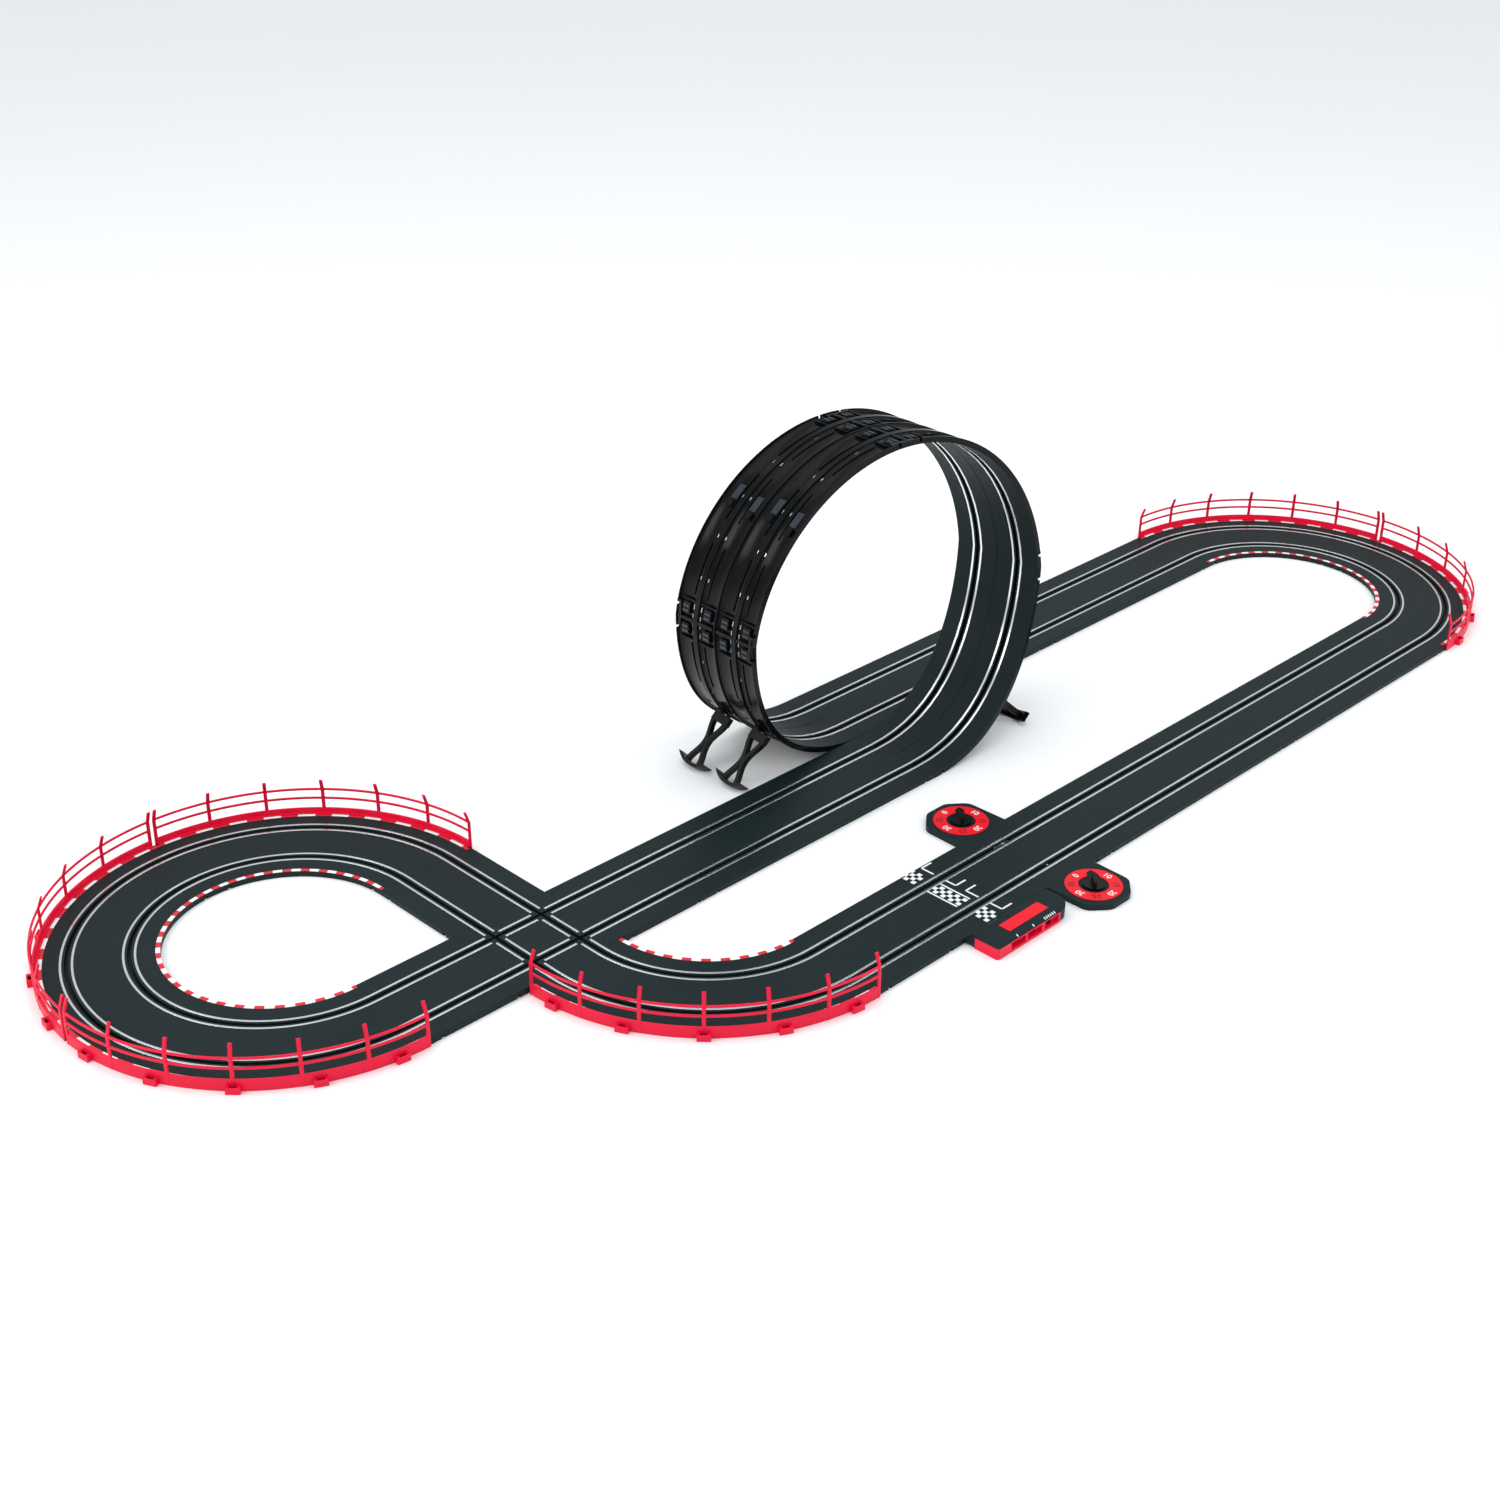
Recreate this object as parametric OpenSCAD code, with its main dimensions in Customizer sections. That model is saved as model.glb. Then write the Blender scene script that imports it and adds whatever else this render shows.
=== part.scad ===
// Slot car track set: a figure-eight circuit with a crossing, a vertical loop,
// crash fences round the curves, a power base and a two-lane lap counter.
// Everything stands on the table, z = 0. The layout is drawn from the middle
// of the crossing, x along the long straights, and is then moved as a whole
// so that the origin lies under the middle of the set.

/* [Track] */
// Width of every track section
track_w = 114; // [100:1:120]
// Height of the running surface above the table
track_h = 6.5; // [6:0.1:8]
// Thickness of the deck
deck_t = 2.2; // [2:0.1:2.4]
// Distance between the two lane slots
lane_gap = 57; // [50:1:60]
// Width of a lane slot
slot_w = 3.6; // [3:0.1:4]
// Length of the short straights, the module of the layout
module_l = 114; // [114:1:120]
// Distance from the middle of a slot to each of its conductor rails
rail_off = 5.4; // [5:0.1:6]
// Width of a conductor rail
rail_w = 2.4; // [2:0.1:2.6]

/* [Loop] */
// Radius of the loop's running surface
loop_r = 180; // [160:1:200]
// Sideways drift of the lower quarters, between the table and the side joints
ramp_drift = 18; // [0:1:24]
// Steps in each quarter of the loop
loop_steps = 16; // [12:1:20]

/* [Fences] */
// Height of a fence's solid foot band
band_h = 12.5; // [10:0.5:15]
// Height of the lower fence rail's middle
rail_low_z = 24; // [20:0.5:26]
// Height of the upper fence rail's middle
rail_top_z = 34.5; // [30:0.5:38]
// Height of the post tips
tip_z = 48; // [44:1:52]
// Number of posts on a fence
posts = 7; // [5:1:9]

/* [Power base] */
// Length of the housing along the track
base_l = 114; // [110:1:116]
// Depth of the housing, out from the edge of the track
base_d = 41; // [36:1:46]
// Height of the housing
base_h = 14.5; // [13:0.5:18]

/* [Lap counter] */
// Distance from the track's centre line to the middle of a dial
dial_off = 86; // [84:1:90]
// Outer radius of the number ring
ring_r = 29; // [26:0.5:30]
// Inner radius of the number ring
ring_in = 15.3; // [14:0.1:17]

/* [Hidden] */
$fn = 96;

eps = 0.1;                          // overshoot of a cutting shape
half_w = track_w / 2;
lanes = [-lane_gap / 2, lane_gap / 2];
curve_r = 1.5 * module_l;           // centre line of a 90 degree curve
std_l = 3 * module_l;               // standard straight
skirt_t = 1.6;                      // wall round the underside
groove_d = 1;                       // depth of a rail's groove
rail_t = groove_d + 0.1;            // a rail stands 0.1 proud
slot_floor = 1.4;                   // bottom of the slot
wall_t = 1.4;                       // walls of the slot's channel
channel_bottom = 0.4;
under = track_h - deck_t;           // underside of the deck
edge_cut = 0.6;                     // bevel along the deck's edges
lugs = 5;                           // clamp feet of a fence
lug_first = 8.1;                    // angle of the first one
lug_w = 13;
lug_d = 5;
fence_r = curve_r + half_w + 0.1;   // inner face of a fence
fence_t = 2;
post_w = 4.2;
fence_first = 2.25;                 // angle of the first post

// Layout positions, from the middle of the crossing
left_c = [-curve_r, curve_r];
near_c = [curve_r, -half_w];
front_y = -half_w - curve_r;
front_end = curve_r + 3 * std_l;
far_c = [front_end, -half_w];
exit_y = far_c[1] + curve_r;
loop_x = curve_r + std_l;
power_x = curve_r + 1.5 * module_l; // middle of the power section
counter_x = power_x + module_l;     // middle of the counter section
base_x = power_x + 7;               // the housing sits a little off centre
plate_out = 35;                     // the side plate's reach past the dial's middle

// Reach of the outermost clamp foot from a curve's centre, along an axis
lug_reach = (fence_r + fence_t + lug_d) * cos(lug_first) + lug_w / 2 * sin(lug_first);
set_mid = [loop_x, (left_c[1] + lug_reach + front_y - dial_off - plate_out) / 2];

black = "#2b3336";
gloss_black = "#17191b";
fence_red = "#ef1632";
metal = "#d8dcde";

// ------------------------------------------------------------ helpers
module at(p, turn = 0) translate([p[0] - set_mid[0], p[1] - set_mid[1], 0]) rotate(turn) children();

// Outline of a convex polygon, its corners given anticlockwise, grown by r
function rounded(p, r, n = 8) = [
    for (i = [0 : len(p) - 1])
        let (a = p[(i + len(p) - 1) % len(p)], b = p[i], c = p[(i + 1) % len(p)],
             in_a = atan2(b[1] - a[1], b[0] - a[0]) - 90,
             out_a = atan2(c[1] - b[1], c[0] - b[0]) - 90,
             sweep = (out_a - in_a + 720) % 360)
        for (k = [0 : n]) b + r * [cos(in_a + sweep * k / n), sin(in_a + sweep * k / n)]
];

// Points of the track's cross-section: across the track, then height
function lane_top(c) = [
    for (side = [-1, 1]) each concat(
        side < 0 ? rail_groove(c - rail_off) : [],
        side < 0 ? [[c - slot_w / 2, track_h], [c - slot_w / 2, slot_floor],
                    [c + slot_w / 2, slot_floor], [c + slot_w / 2, track_h]] : [],
        side > 0 ? rail_groove(c + rail_off) : [])
];
function rail_groove(c) = [
    [c - rail_w / 2, track_h], [c - rail_w / 2, track_h - groove_d],
    [c + rail_w / 2, track_h - groove_d], [c + rail_w / 2, track_h]
];
function rib_under(c, w) = [
    [c + w / 2, under], [c + w / 2, channel_bottom], [c - w / 2, channel_bottom], [c - w / 2, under]
];
function section_points() = concat(
    [[-half_w, 0], [-half_w, track_h - edge_cut], [-half_w + edge_cut, track_h]],
    lane_top(lanes[0]), lane_top(lanes[1]),
    [[half_w - edge_cut, track_h], [half_w, track_h - edge_cut], [half_w, 0],
     [half_w - skirt_t, 0], [half_w - skirt_t, under]],
    rib_under(lanes[1], slot_w + 2 * wall_t), rib_under(0, skirt_t),
    rib_under(lanes[0], slot_w + 2 * wall_t),
    [[-half_w + skirt_t, under], [-half_w + skirt_t, 0]]
);
function rail_centres() = [for (c = lanes) for (side = [-1, 1]) c + side * rail_off];

// ------------------------------------------------------------ track sections
// Openings in the skirts that the joint clips hook into, at a joint's origin
notch_at = 13.5;
module notches(side = 1)
    for (s = [-1, 1])
        translate([side * notch_at - 1.6, s > 0 ? half_w - 3.5 : -half_w - 1.5, -eps])
            cube([3.2, 5, 3.9]);

module straight(l) difference() {
    rotate([90, 0, 90]) linear_extrude(l) polygon(section_points());
    notches();
    translate([l, 0, 0]) notches(-1);
}

module curve() difference() {
    rotate_extrude(angle = 90, $fn = 180) translate([curve_r, 0]) polygon(section_points());
    translate([curve_r, 0, 0]) rotate(90) notches();
    translate([0, curve_r, 0]) notches();
}

module straight_rails(l) for (c = rail_centres())
    translate([0, c - rail_w / 2, track_h - groove_d]) cube([l, rail_w, rail_t]);

module curve_rails() for (c = rail_centres())
    rotate_extrude(angle = 90, $fn = 180)
        translate([curve_r + c - rail_w / 2, track_h - groove_d]) square([rail_w, rail_t]);

// The crossing: both pairs of slots cut through one square deck
rail_stop = 8.6;                    // rails stop this far from a crossing of slots
crossing_cuts = [for (c = [-half_w, lanes[0], lanes[1], half_w]) c];
module crossing_rail_set(h) for (turn = [0, 90]) rotate(turn)
    for (c = rail_centres()) for (i = [0 : 2])
        let (a = crossing_cuts[i] + (i > 0 ? rail_stop : 0),
             b = crossing_cuts[i + 1] - (i < 2 ? rail_stop : 0))
            translate([a, c - rail_w / 2, track_h - groove_d]) cube([b - a, rail_w, h]);

module crossing() color(black) at([0, 0]) difference() {
    union() {
        translate([-half_w, -half_w, under]) cube([track_w, track_w, deck_t]);
        for (turn = [0, 90, 180, 270]) rotate(turn)
            translate([-half_w, -half_w, 0]) cube([track_w, skirt_t, track_h - 1]);
        for (turn = [0, 90]) rotate(turn) for (c = lanes)
            translate([-half_w, c - slot_w / 2 - wall_t, channel_bottom])
                cube([track_w, slot_w + 2 * wall_t, track_h - 1]);
    }
    translate([-half_w - eps, -half_w - eps, track_h])
        cube([track_w + 2 * eps, track_w + 2 * eps, 2]);
    for (turn = [0, 90]) rotate(turn) for (c = lanes)
        translate([-half_w - eps, c - slot_w / 2, slot_floor]) cube([track_w + 2 * eps, slot_w, track_h]);
    crossing_rail_set(groove_d + eps);
    for (turn = [0, 180]) rotate(turn) translate([half_w, 0, 0]) {
        clip_room();
        notches(-1);
    }
}

// Room for the joint clips where they reach under the crossing
module clip_room() for (s = [-1, 1])
    translate([-16, s * 51.75 - 2.25, 0.6]) cube([16 + eps, 4.5, 3.2]);

module left_arm_straight() color(black) at([-curve_r, 0]) straight(module_l);
module left_curve_1() color(black) at(left_c, 180) curve();
module left_curve_2() color(black) at(left_c, 90) curve();
module left_curve_3() color(black) at(left_c, 0) curve();
module back_arm_straight() color(black) at([0, half_w], 90) straight(module_l);
module near_curve() color(black) at(near_c, 180) curve();
module front_short_straight() color(black) at([curve_r, front_y]) straight(module_l);
module front_straight_1() color(black) at([loop_x, front_y]) straight(std_l);
module front_straight_2() color(black) at([loop_x + std_l, front_y]) straight(std_l);
module far_curve_1() color(black) at(far_c, 270) curve();
module far_curve_2() color(black) at(far_c, 0) curve();
module entry_short_straight() color(black) at([half_w, 0]) straight(module_l);
module entry_straight() color(black) at([curve_r, 0]) straight(std_l);
module exit_straight_1() color(black) at([loop_x, exit_y]) straight(std_l);
module exit_straight_2() color(black) at([loop_x + std_l, exit_y]) straight(std_l);

// ------------------------------------------------------------ loop
// The centre line climbs round a circle and drifts sideways from the entry
// lane to the exit lane. drift(a) is that sideways shift at the angle a; it
// starts once the ramp is clear of the straight beside it.
drift_from = 16;
function drift(a) = a > 180 ? exit_y - drift(360 - a)
    : a < 90 ? ramp_drift * pow(sin(max(0, a - drift_from) * 90 / (90 - drift_from)), 2)
    : ramp_drift + (exit_y / 2 - ramp_drift) * (a - 90) / 90;
function loop_point(p, a) = let (r = loop_r + track_h - p[1]) [
    r * sin(a), p[0] + drift(a), track_h + loop_r - r * cos(a)
];
// The cross-section p carried round the loop from angle a to angle b
module swept(p, a, b) {
    n = len(p);
    pts = [for (i = [0 : loop_steps]) for (q = p) loop_point(q, a + (b - a) * i / loop_steps)];
    sides = [for (i = [0 : loop_steps - 1]) for (j = [0 : n - 1])
        let (k = (j + 1) % n, u = i * n, v = u + n) each [[u + j, v + j, v + k], [u + j, v + k, u + k]]];
    caps = [[for (j = [0 : n - 1]) j], [for (j = [n - 1 : -1 : 0]) loop_steps * n + j]];
    polyhedron(points = pts, faces = concat(sides, caps), convexity = 10);
}
// A joint's own frame, x along the direction of travel and z towards the
// middle of the loop; the yaw follows the drift
function joint_yaw(a) = a == 180 ? upper_yaw : a == 0 || a == 360 ? 0 : upper_yaw / 2;
upper_yaw = atan((exit_y / 2 - ramp_drift) / (loop_r * PI / 2));
module loop_joint(a) translate([loop_r * sin(a), drift(a), track_h + loop_r - loop_r * cos(a)])
    rotate([0, -a, 0]) rotate(joint_yaw(a)) translate([0, 0, -track_h]) children();

module loop_quarter(a) color(black) at([loop_x, 0]) difference() {
    swept(section_points(), a, a + 90);
    loop_joint(a) notches();
    loop_joint(a + 90) notches(-1);
}
module loop_ramp_up() loop_quarter(0);
module loop_upper_1() loop_quarter(90);
module loop_upper_2() loop_quarter(180);
module loop_ramp_down() loop_quarter(270);

// Supports: a clip block under the lane, two wavy struts that meet at a
// waist, and a curved shoe that rolls to its own level on the table
support_a = 43.5;                   // angle of the supports up the loop
support_top = 0.4;                  // how far the block stops short of the skirts' edge
prong_h = 2.4;                      // prongs that grip the slot's channel
support_l = (loop_r + track_h) / cos(support_a) - loop_r - track_h - 3;
strut_w = 4.4;
strut_t = 7;
strut_out = 9;                      // middle of a strut at both ends
shoe_r = 34;
shoe_w = 12;
strut_waist = strut_w / 2 - 0.3;    // the same where the two struts touch
function wave(side, k, top_v, low_v) = [
    (strut_out + strut_waist) / 2 + (strut_out - strut_waist) / 2 * cos(360 * k / 24) + side * strut_w / 2,
    -top_v - (low_v - top_v) * k / 24];
module wavy_strut(top_v, low_v) translate([0, 0, -strut_t / 2]) linear_extrude(strut_t) polygon(concat(
    [for (k = [0 : 24]) wave(-1, k, top_v, low_v)], [for (k = [24 : -1 : 0]) wave(1, k, top_v, low_v)]));
module support_shape() {
    // Drawn flat: x across, y towards the loop (negative is down to the shoe)
    translate([-12, -11, -strut_t / 2]) cube([24, 11 - support_top, strut_t]);
    for (side = [-1, 1]) translate([side * (slot_w / 2 + wall_t + 2) - 1, -1, -strut_t / 2])
        cube([2, 1 + prong_h, strut_t]);
    for (side = [0, 1]) mirror([side, 0, 0]) wavy_strut(8, support_l - 3.5);
    translate([0, shoe_r - support_l, -shoe_w / 2]) difference() {
        cylinder(r = shoe_r, h = shoe_w);
        translate([0, 0, -eps]) cylinder(r = shoe_r - 4, h = shoe_w + 2 * eps);
        translate([-shoe_r - 1, -shoe_r + 9, -eps]) cube([2 * shoe_r + 2, 2 * shoe_r, shoe_w + 2 * eps]);
    }
}
// y is the lane's line on the table, where the shoe stands; the loop has drifted
// off it at the top of the support, so the support leans. side is 1 on the entry
// side and -1 on the exit side.
support_drift = drift(support_a);
lean = asin(support_drift / support_l);
module support(y, side) color(gloss_black) at([loop_x, y + side * support_drift]) intersection() {
    translate([0, 0, track_h + loop_r]) rotate([0, -side * support_a, 0])
        translate([0, 0, -loop_r - track_h]) rotate([90, 0, 90]) rotate(-side * lean) support_shape();
    translate([-400, -60, 0]) cube([800, 120, 200]);
}
module loop_support_1() support(lanes[0], 1);
module loop_support_2() support(lanes[1], 1);
module loop_support_3() support(exit_y + lanes[0], -1);
module loop_support_4() support(exit_y + lanes[1], -1);

// ------------------------------------------------------------ conductor rails
module crossing_rails() color(metal) at([0, 0]) crossing_rail_set(rail_t);
module left_rails() color(metal) {
    at([-curve_r, 0]) straight_rails(module_l);
    for (turn = [0, 90, 180]) at(left_c, turn) curve_rails();
    at([0, half_w], 90) straight_rails(module_l);
}
module front_rails() color(metal) {
    at(near_c, 180) curve_rails();
    for (x = [curve_r, power_x - half_w, counter_x - half_w]) at([x, front_y]) straight_rails(module_l);
    for (x = [loop_x, loop_x + std_l]) at([x, front_y]) straight_rails(std_l);
}
module far_rails() color(metal) for (turn = [270, 0]) at(far_c, turn) curve_rails();
module entry_rails() color(metal) {
    at([half_w, 0]) straight_rails(module_l);
    at([curve_r, 0]) straight_rails(std_l);
}
module exit_rails() color(metal)
    for (x = [loop_x, loop_x + std_l]) at([x, exit_y]) straight_rails(std_l);
module loop_rails() color(metal) at([loop_x, 0])
    for (a = [0, 90, 180, 270]) for (c = rail_centres())
        swept([[c - rail_w / 2, track_h - groove_d], [c - rail_w / 2, track_h + 0.1],
               [c + rail_w / 2, track_h + 0.1], [c + rail_w / 2, track_h - groove_d]], a, a + 90);

// ------------------------------------------------------------ joint clips
// One clip inside each skirt at a joint: a bar with a hook at both ends. The
// crossing has them on two opposite sides only, as they would meet at its corners.
module clip_pair() for (s = [-1, 1]) {
    translate([-15, s * 51.75 - 1.75, 1]) cube([30, 3.5, 2.6]);
    for (x = [-notch_at, notch_at])
        translate([x - 1.2, s > 0 ? 53.4 : -56.4, 1]) cube([2.4, 3, 2.4]);
}
flat_joints = [
    [-curve_r, 0, 0], [-2 * curve_r, curve_r, 90], [-curve_r, 2 * curve_r, 0], [0, curve_r, 90],
    [-half_w, 0, 0], [half_w, 0, 0], [curve_r, front_y, 0],
    [power_x - half_w, front_y, 0], [power_x + half_w, front_y, 0], [loop_x, front_y, 0],
    [loop_x + std_l, front_y, 0], [front_end, front_y, 0], [front_end + curve_r, far_c[1], 90],
    [front_end, exit_y, 0], [loop_x + std_l, exit_y, 0], [curve_r, 0, 0]
];
module joint_clips() color(gloss_black) {
    for (j = flat_joints) at([j[0], j[1]], j[2]) clip_pair();
    at([loop_x, 0]) for (a = [0, 90, 180, 270, 360]) loop_joint(a) clip_pair();
}

// ------------------------------------------------------------ fences
// One moulding round the outside of a curve: foot band, lip over the deck's
// edge, two rails, posts whose tips lean over the track, and clamp feet
module fence(turn, c) color(fence_red) at(c, turn) {
    last = 90 - fence_first;
    rotate(fence_first - 0.5) rotate_extrude(angle = 91 - 2 * fence_first, $fn = 180)
        polygon([[fence_r, 0], [fence_r + fence_t, 0], [fence_r + fence_t, band_h],
                 [fence_r, band_h], [fence_r, track_h + 0.8], [fence_r - 2.6, track_h + 0.8],
                 [fence_r - 2.6, track_h], [fence_r, track_h]]);
    for (z = [rail_low_z, rail_top_z]) rotate(fence_first)
        rotate_extrude(angle = 90 - 2 * fence_first, $fn = 180)
            translate([fence_r, z - 1.3]) square([fence_t, 2.6]);
    for (i = [0 : posts - 1]) rotate(fence_first + (last - fence_first) * i / (posts - 1))
        translate([fence_r, 0, 0]) rotate([90, 0, 0]) linear_extrude(post_w, center = true)
            polygon([[0, band_h - 1], [fence_t, band_h - 1], [fence_t, rail_top_z + 1.3],
                     [fence_t - 4.4, tip_z], [-4.6, tip_z - 0.8], [0, rail_top_z + 0.6]]);
    for (i = [0 : lugs - 1]) rotate(lug_first + (90 - 2 * lug_first) * i / (lugs - 1))
        translate([fence_r + fence_t - eps, -lug_w / 2, 0]) difference() {
            cube([lug_d + eps, lug_w, 7]);
            translate([0.6, 3, 2]) cube([3.2, lug_w - 6, 6]);
        }
}
module left_fence_1() fence(180, left_c);
module left_fence_2() fence(90, left_c);
module left_fence_3() fence(0, left_c);
module near_fence() fence(180, near_c);
module far_fence_1() fence(270, far_c);
module far_fence_2() fence(0, far_c);

// ------------------------------------------------------------ power base
tongues = [-30, 24];                // floor tongues, from the housing's middle
tongue_w = 16;
module power_straight() color(black) at([power_x, front_y]) difference() {
    translate([-half_w, 0, 0]) straight(module_l);
    for (x = tongues) translate([base_x - power_x + x - tongue_w / 2 - 0.3, -half_w - 1, -eps])
        cube([tongue_w + 0.6, 3, 2.2]);
}

// The housing is drawn with v out from the edge of the track
module base_at() at([base_x, front_y - half_w]) mirror([0, 1, 0]) children();
left_corner = 3;
right_corner = 18;
lid_v = 12;                         // the lid's skirt ends here; the socket block goes on
block_h = 12.1;                     // top of the socket block, under the lid
block_end = 38;                     // the block stops where the rounded corner starts
sockets = [-26, -1.5];              // hand controller sockets
window_w = 22;                      // wide windows in front of sockets and jack
window_d = 4;
jack_x = 24.5;
jack_z = 6.6;
jack_in = 2.8;
screw_x = [-48, 48];
function corner(x, r, inset, from) = [for (k = [0 : 8]) let (a = from + 90 * k / 8)
    [x + (r - inset) * cos(a), base_d - r + (r - inset) * sin(a)]];
module base_outline(inset = 0, back = 0) polygon(concat(
    [[-base_l / 2 + inset, back], [base_l / 2 - inset, back]],
    corner(base_l / 2 - right_corner, right_corner, inset, 0),
    corner(-base_l / 2 + left_corner, left_corner, inset, 90)));
// Everything up to x, with room to spare on the other sides
module up_to(x) translate([-base_l / 2 - 1, 0, -1]) cube([x + base_l / 2 + 1, 60, 30]);

// A shape given as points of v and height, run along the housing
module along_base(l, p) rotate([90, 0, 90]) translate([0, 0, -l / 2]) linear_extrude(l) polygon(p);

module base_cover() color(black) base_at() intersection() {
    linear_extrude(base_h + 1) base_outline(0, 0.2);
    difference() {
        along_base(base_l, [[0.2, 1.8], [0.2, track_h + 0.6], [8, base_h], [base_d - 5, base_h],
                            [base_d, block_h], [base_d, 1.8]]);
        intersection() {
            along_base(base_l - 3.6, [[1.8, 1.7], [1.8, track_h], [8.6, base_h - 1.8],
                                      [base_d - 6, base_h - 1.8], [base_d - 1.8, block_h - eps],
                                      [base_d - 1.8, 1.7]]);
            linear_extrude(base_h) base_outline(1.8, 0);
        }
        // Room for the red block
        translate([-base_l / 2 - 1, lid_v, 1.7]) cube([block_end + base_l / 2 + 1.2, 40, block_h - 1.7]);
    }
}
module socket_block() color(fence_red) base_at() difference() {
    union() {
        difference() {
            intersection() {
                linear_extrude(block_h) base_outline(0, lid_v);
                up_to(block_end);
            }
            intersection() {
                translate([0, 0, -eps]) linear_extrude(block_h + 2 * eps) base_outline(2, lid_v - eps);
                up_to(block_end - 2);
            }
        }
        // Cups behind the front wall, closed at the back, where the pins stand
        translate([sockets[0] - window_w / 2 - 1.2, base_d - 12, 1.8])
            cube([sockets[1] - sockets[0] + window_w + 2.4, 11, 10]);
        translate([jack_x - window_w / 2 - 1.2, base_d - 6, 1.8]) cube([window_w + 2.4, 5, 10]);
    }
    // Room for the floor under the wall at the end
    translate([0, 0, -eps]) linear_extrude(1.8 + eps) base_outline(2, lid_v - eps);
    for (x = concat(sockets, [jack_x]))
        translate([x - window_w / 2, base_d - window_d, 2.8]) cube([window_w, window_d + 1, 8]);
    for (x = sockets) translate([x - 6.5, base_d - 10.5, 2.8]) cube([13, 10, 7.5]);
    translate([jack_x, base_d - 7, jack_z]) rotate([-90, 0, 0]) cylinder(r = 4.3, h = 4);
}
module base_floor() color(gloss_black) base_at() difference() {
    union() {
        translate([0, 0, 0.2]) linear_extrude(1.4) base_outline(2.2, 0.2);
        for (x = screw_x) for (v = [8, 29]) translate([x, v, 0.2]) cylinder(r = 3.4, h = 6);
        // Tongues that reach in under the edge of the track
        for (x = tongues) translate([x - tongue_w / 2, -6, 0.6]) cube([tongue_w, 9, 1]);
    }
    for (x = screw_x) for (v = [8, 29]) translate([x, v, 0]) {
        cylinder(r = 1.25, h = 8);
        cylinder(r = 2.4, h = 1.3);
    }
}
module circuit_board() color("#2f6b3c") base_at() translate([-44, 14, 3.4]) cube([78, 12, 1.2]);
module socket_pins() color("#c8a64b") base_at()
    for (x = sockets) for (i = [-1 : 1]) translate([x + 3 * i, base_d - 10.5, 6.5])
        rotate([-90, 0, 0]) cylinder(r = 0.5, h = 6);
module power_jack() color(gloss_black) base_at() translate([jack_x, base_d - 14.8, jack_z])
    rotate([-90, 0, 0]) {
        difference() {
            union() {
                cylinder(r = 4.2, h = 10.8);
                translate([-5, -3, 0]) cube([10, 6, 8.6]);
            }
            translate([0, 0, 1.3]) cylinder(r = jack_in, h = 12);
        }
        translate([0, 0, 1]) cylinder(r = 1, h = 8);
    }
// Spring blades that press on the underside of the deck below each rail
module feed_contacts() color("#c8a64b") for (c = rail_centres())
    at([power_x, front_y]) translate([-8, c - 0.4, channel_bottom + 0.2]) {
        translate([0, 0, under - channel_bottom - 0.6]) cube([16, 0.8, 0.4]);
        translate([6, 0, 1]) cube([4, 0.8, under - channel_bottom - 1.4]);
    }
module base_label() color(fence_red) base_at() translate([0, 0, base_h])
    linear_extrude(0.4) translate([-27.3, 16.3]) square([59, 14]);

// ------------------------------------------------------------ lap counter
// One half is drawn with the dial towards +y; the other half is its mirror
// image in the track's centre line.
counter_half = 36.5;                // half the plate's width at the track
dial_half = 20;                     // the plate's outer corners
plate_r = 13;
shaft_r = 2.4;
shaft_gap = 0.05;                   // running clearance of the dial's shaft
hub_r = 11.5;                       // the pointer's round base
ratchet_r = 11.5;
teeth = 8;
pivot_off = 51.5;                   // a trip lever's pin, from the centre line
pin_r = 1.5;
pin_gap = 0.05;
lever_z = 2;
lever_t = 1.6;
trip_deg = 25;                      // how far a passing car swings a lever

module counter_side(side) at([counter_x, front_y]) mirror([0, side > 0 ? 0 : 1, 0]) children();

function plate_points(r) = rounded([
    [-counter_half + plate_r, half_w - 20], [counter_half - plate_r, half_w - 20],
    [dial_half + 15 - plate_r, dial_off + 12], [dial_half + 3 - plate_r, dial_off + plate_out - plate_r],
    [-dial_half - 3 + plate_r, dial_off + plate_out - plate_r], [-dial_half - 15 + plate_r, dial_off + 12]
], r);

module counter_half_cuts() {
    // Hollow under the plate, and the way in for the lever from the slot
    intersection() {
        translate([0, 0, -eps]) linear_extrude(under + eps) polygon(plate_points(plate_r - skirt_t));
        translate([-40, half_w - skirt_t - eps, -1]) cube([80, 80, 20]);
    }
    translate([-14, lanes[1] + slot_w / 2 - eps, slot_floor])
        cube([28, wall_t + 2 * eps, under - slot_floor]);
    translate([0, dial_off, 0]) cylinder(r = shaft_r + shaft_gap, h = 20);
}
module counter_straight() color(black) at([counter_x, front_y]) difference() {
    union() {
        translate([-half_w, 0, 0]) difference() {
            straight(module_l);
            for (s = [-1, 1]) translate([half_w - counter_half + 3, s > 0 ? half_w - 3 : -half_w - 1, -eps])
                cube([2 * counter_half - 6, 4, under + eps]);
        }
        for (side = [0, 1]) mirror([0, side, 0]) {
            intersection() {
                linear_extrude(track_h) polygon(plate_points(plate_r));
                translate([-40, half_w - 1, -1]) cube([80, 80, 20]);
            }
            translate([0, pivot_off, lever_z - 0.4]) cylinder(r = pin_r, h = under - lever_z + 0.5);
        }
    }
    for (side = [0, 1]) mirror([0, side, 0]) counter_half_cuts();
}
module number_ring() translate([0, dial_off, track_h]) difference() {
    cylinder(r = ring_r, h = 0.8);
    translate([0, 0, -eps]) cylinder(r = ring_in, h = 1);
}
module number_ring_back() color(fence_red) counter_side(1) number_ring();
module number_ring_front() color(fence_red) counter_side(-1) number_ring();

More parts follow.
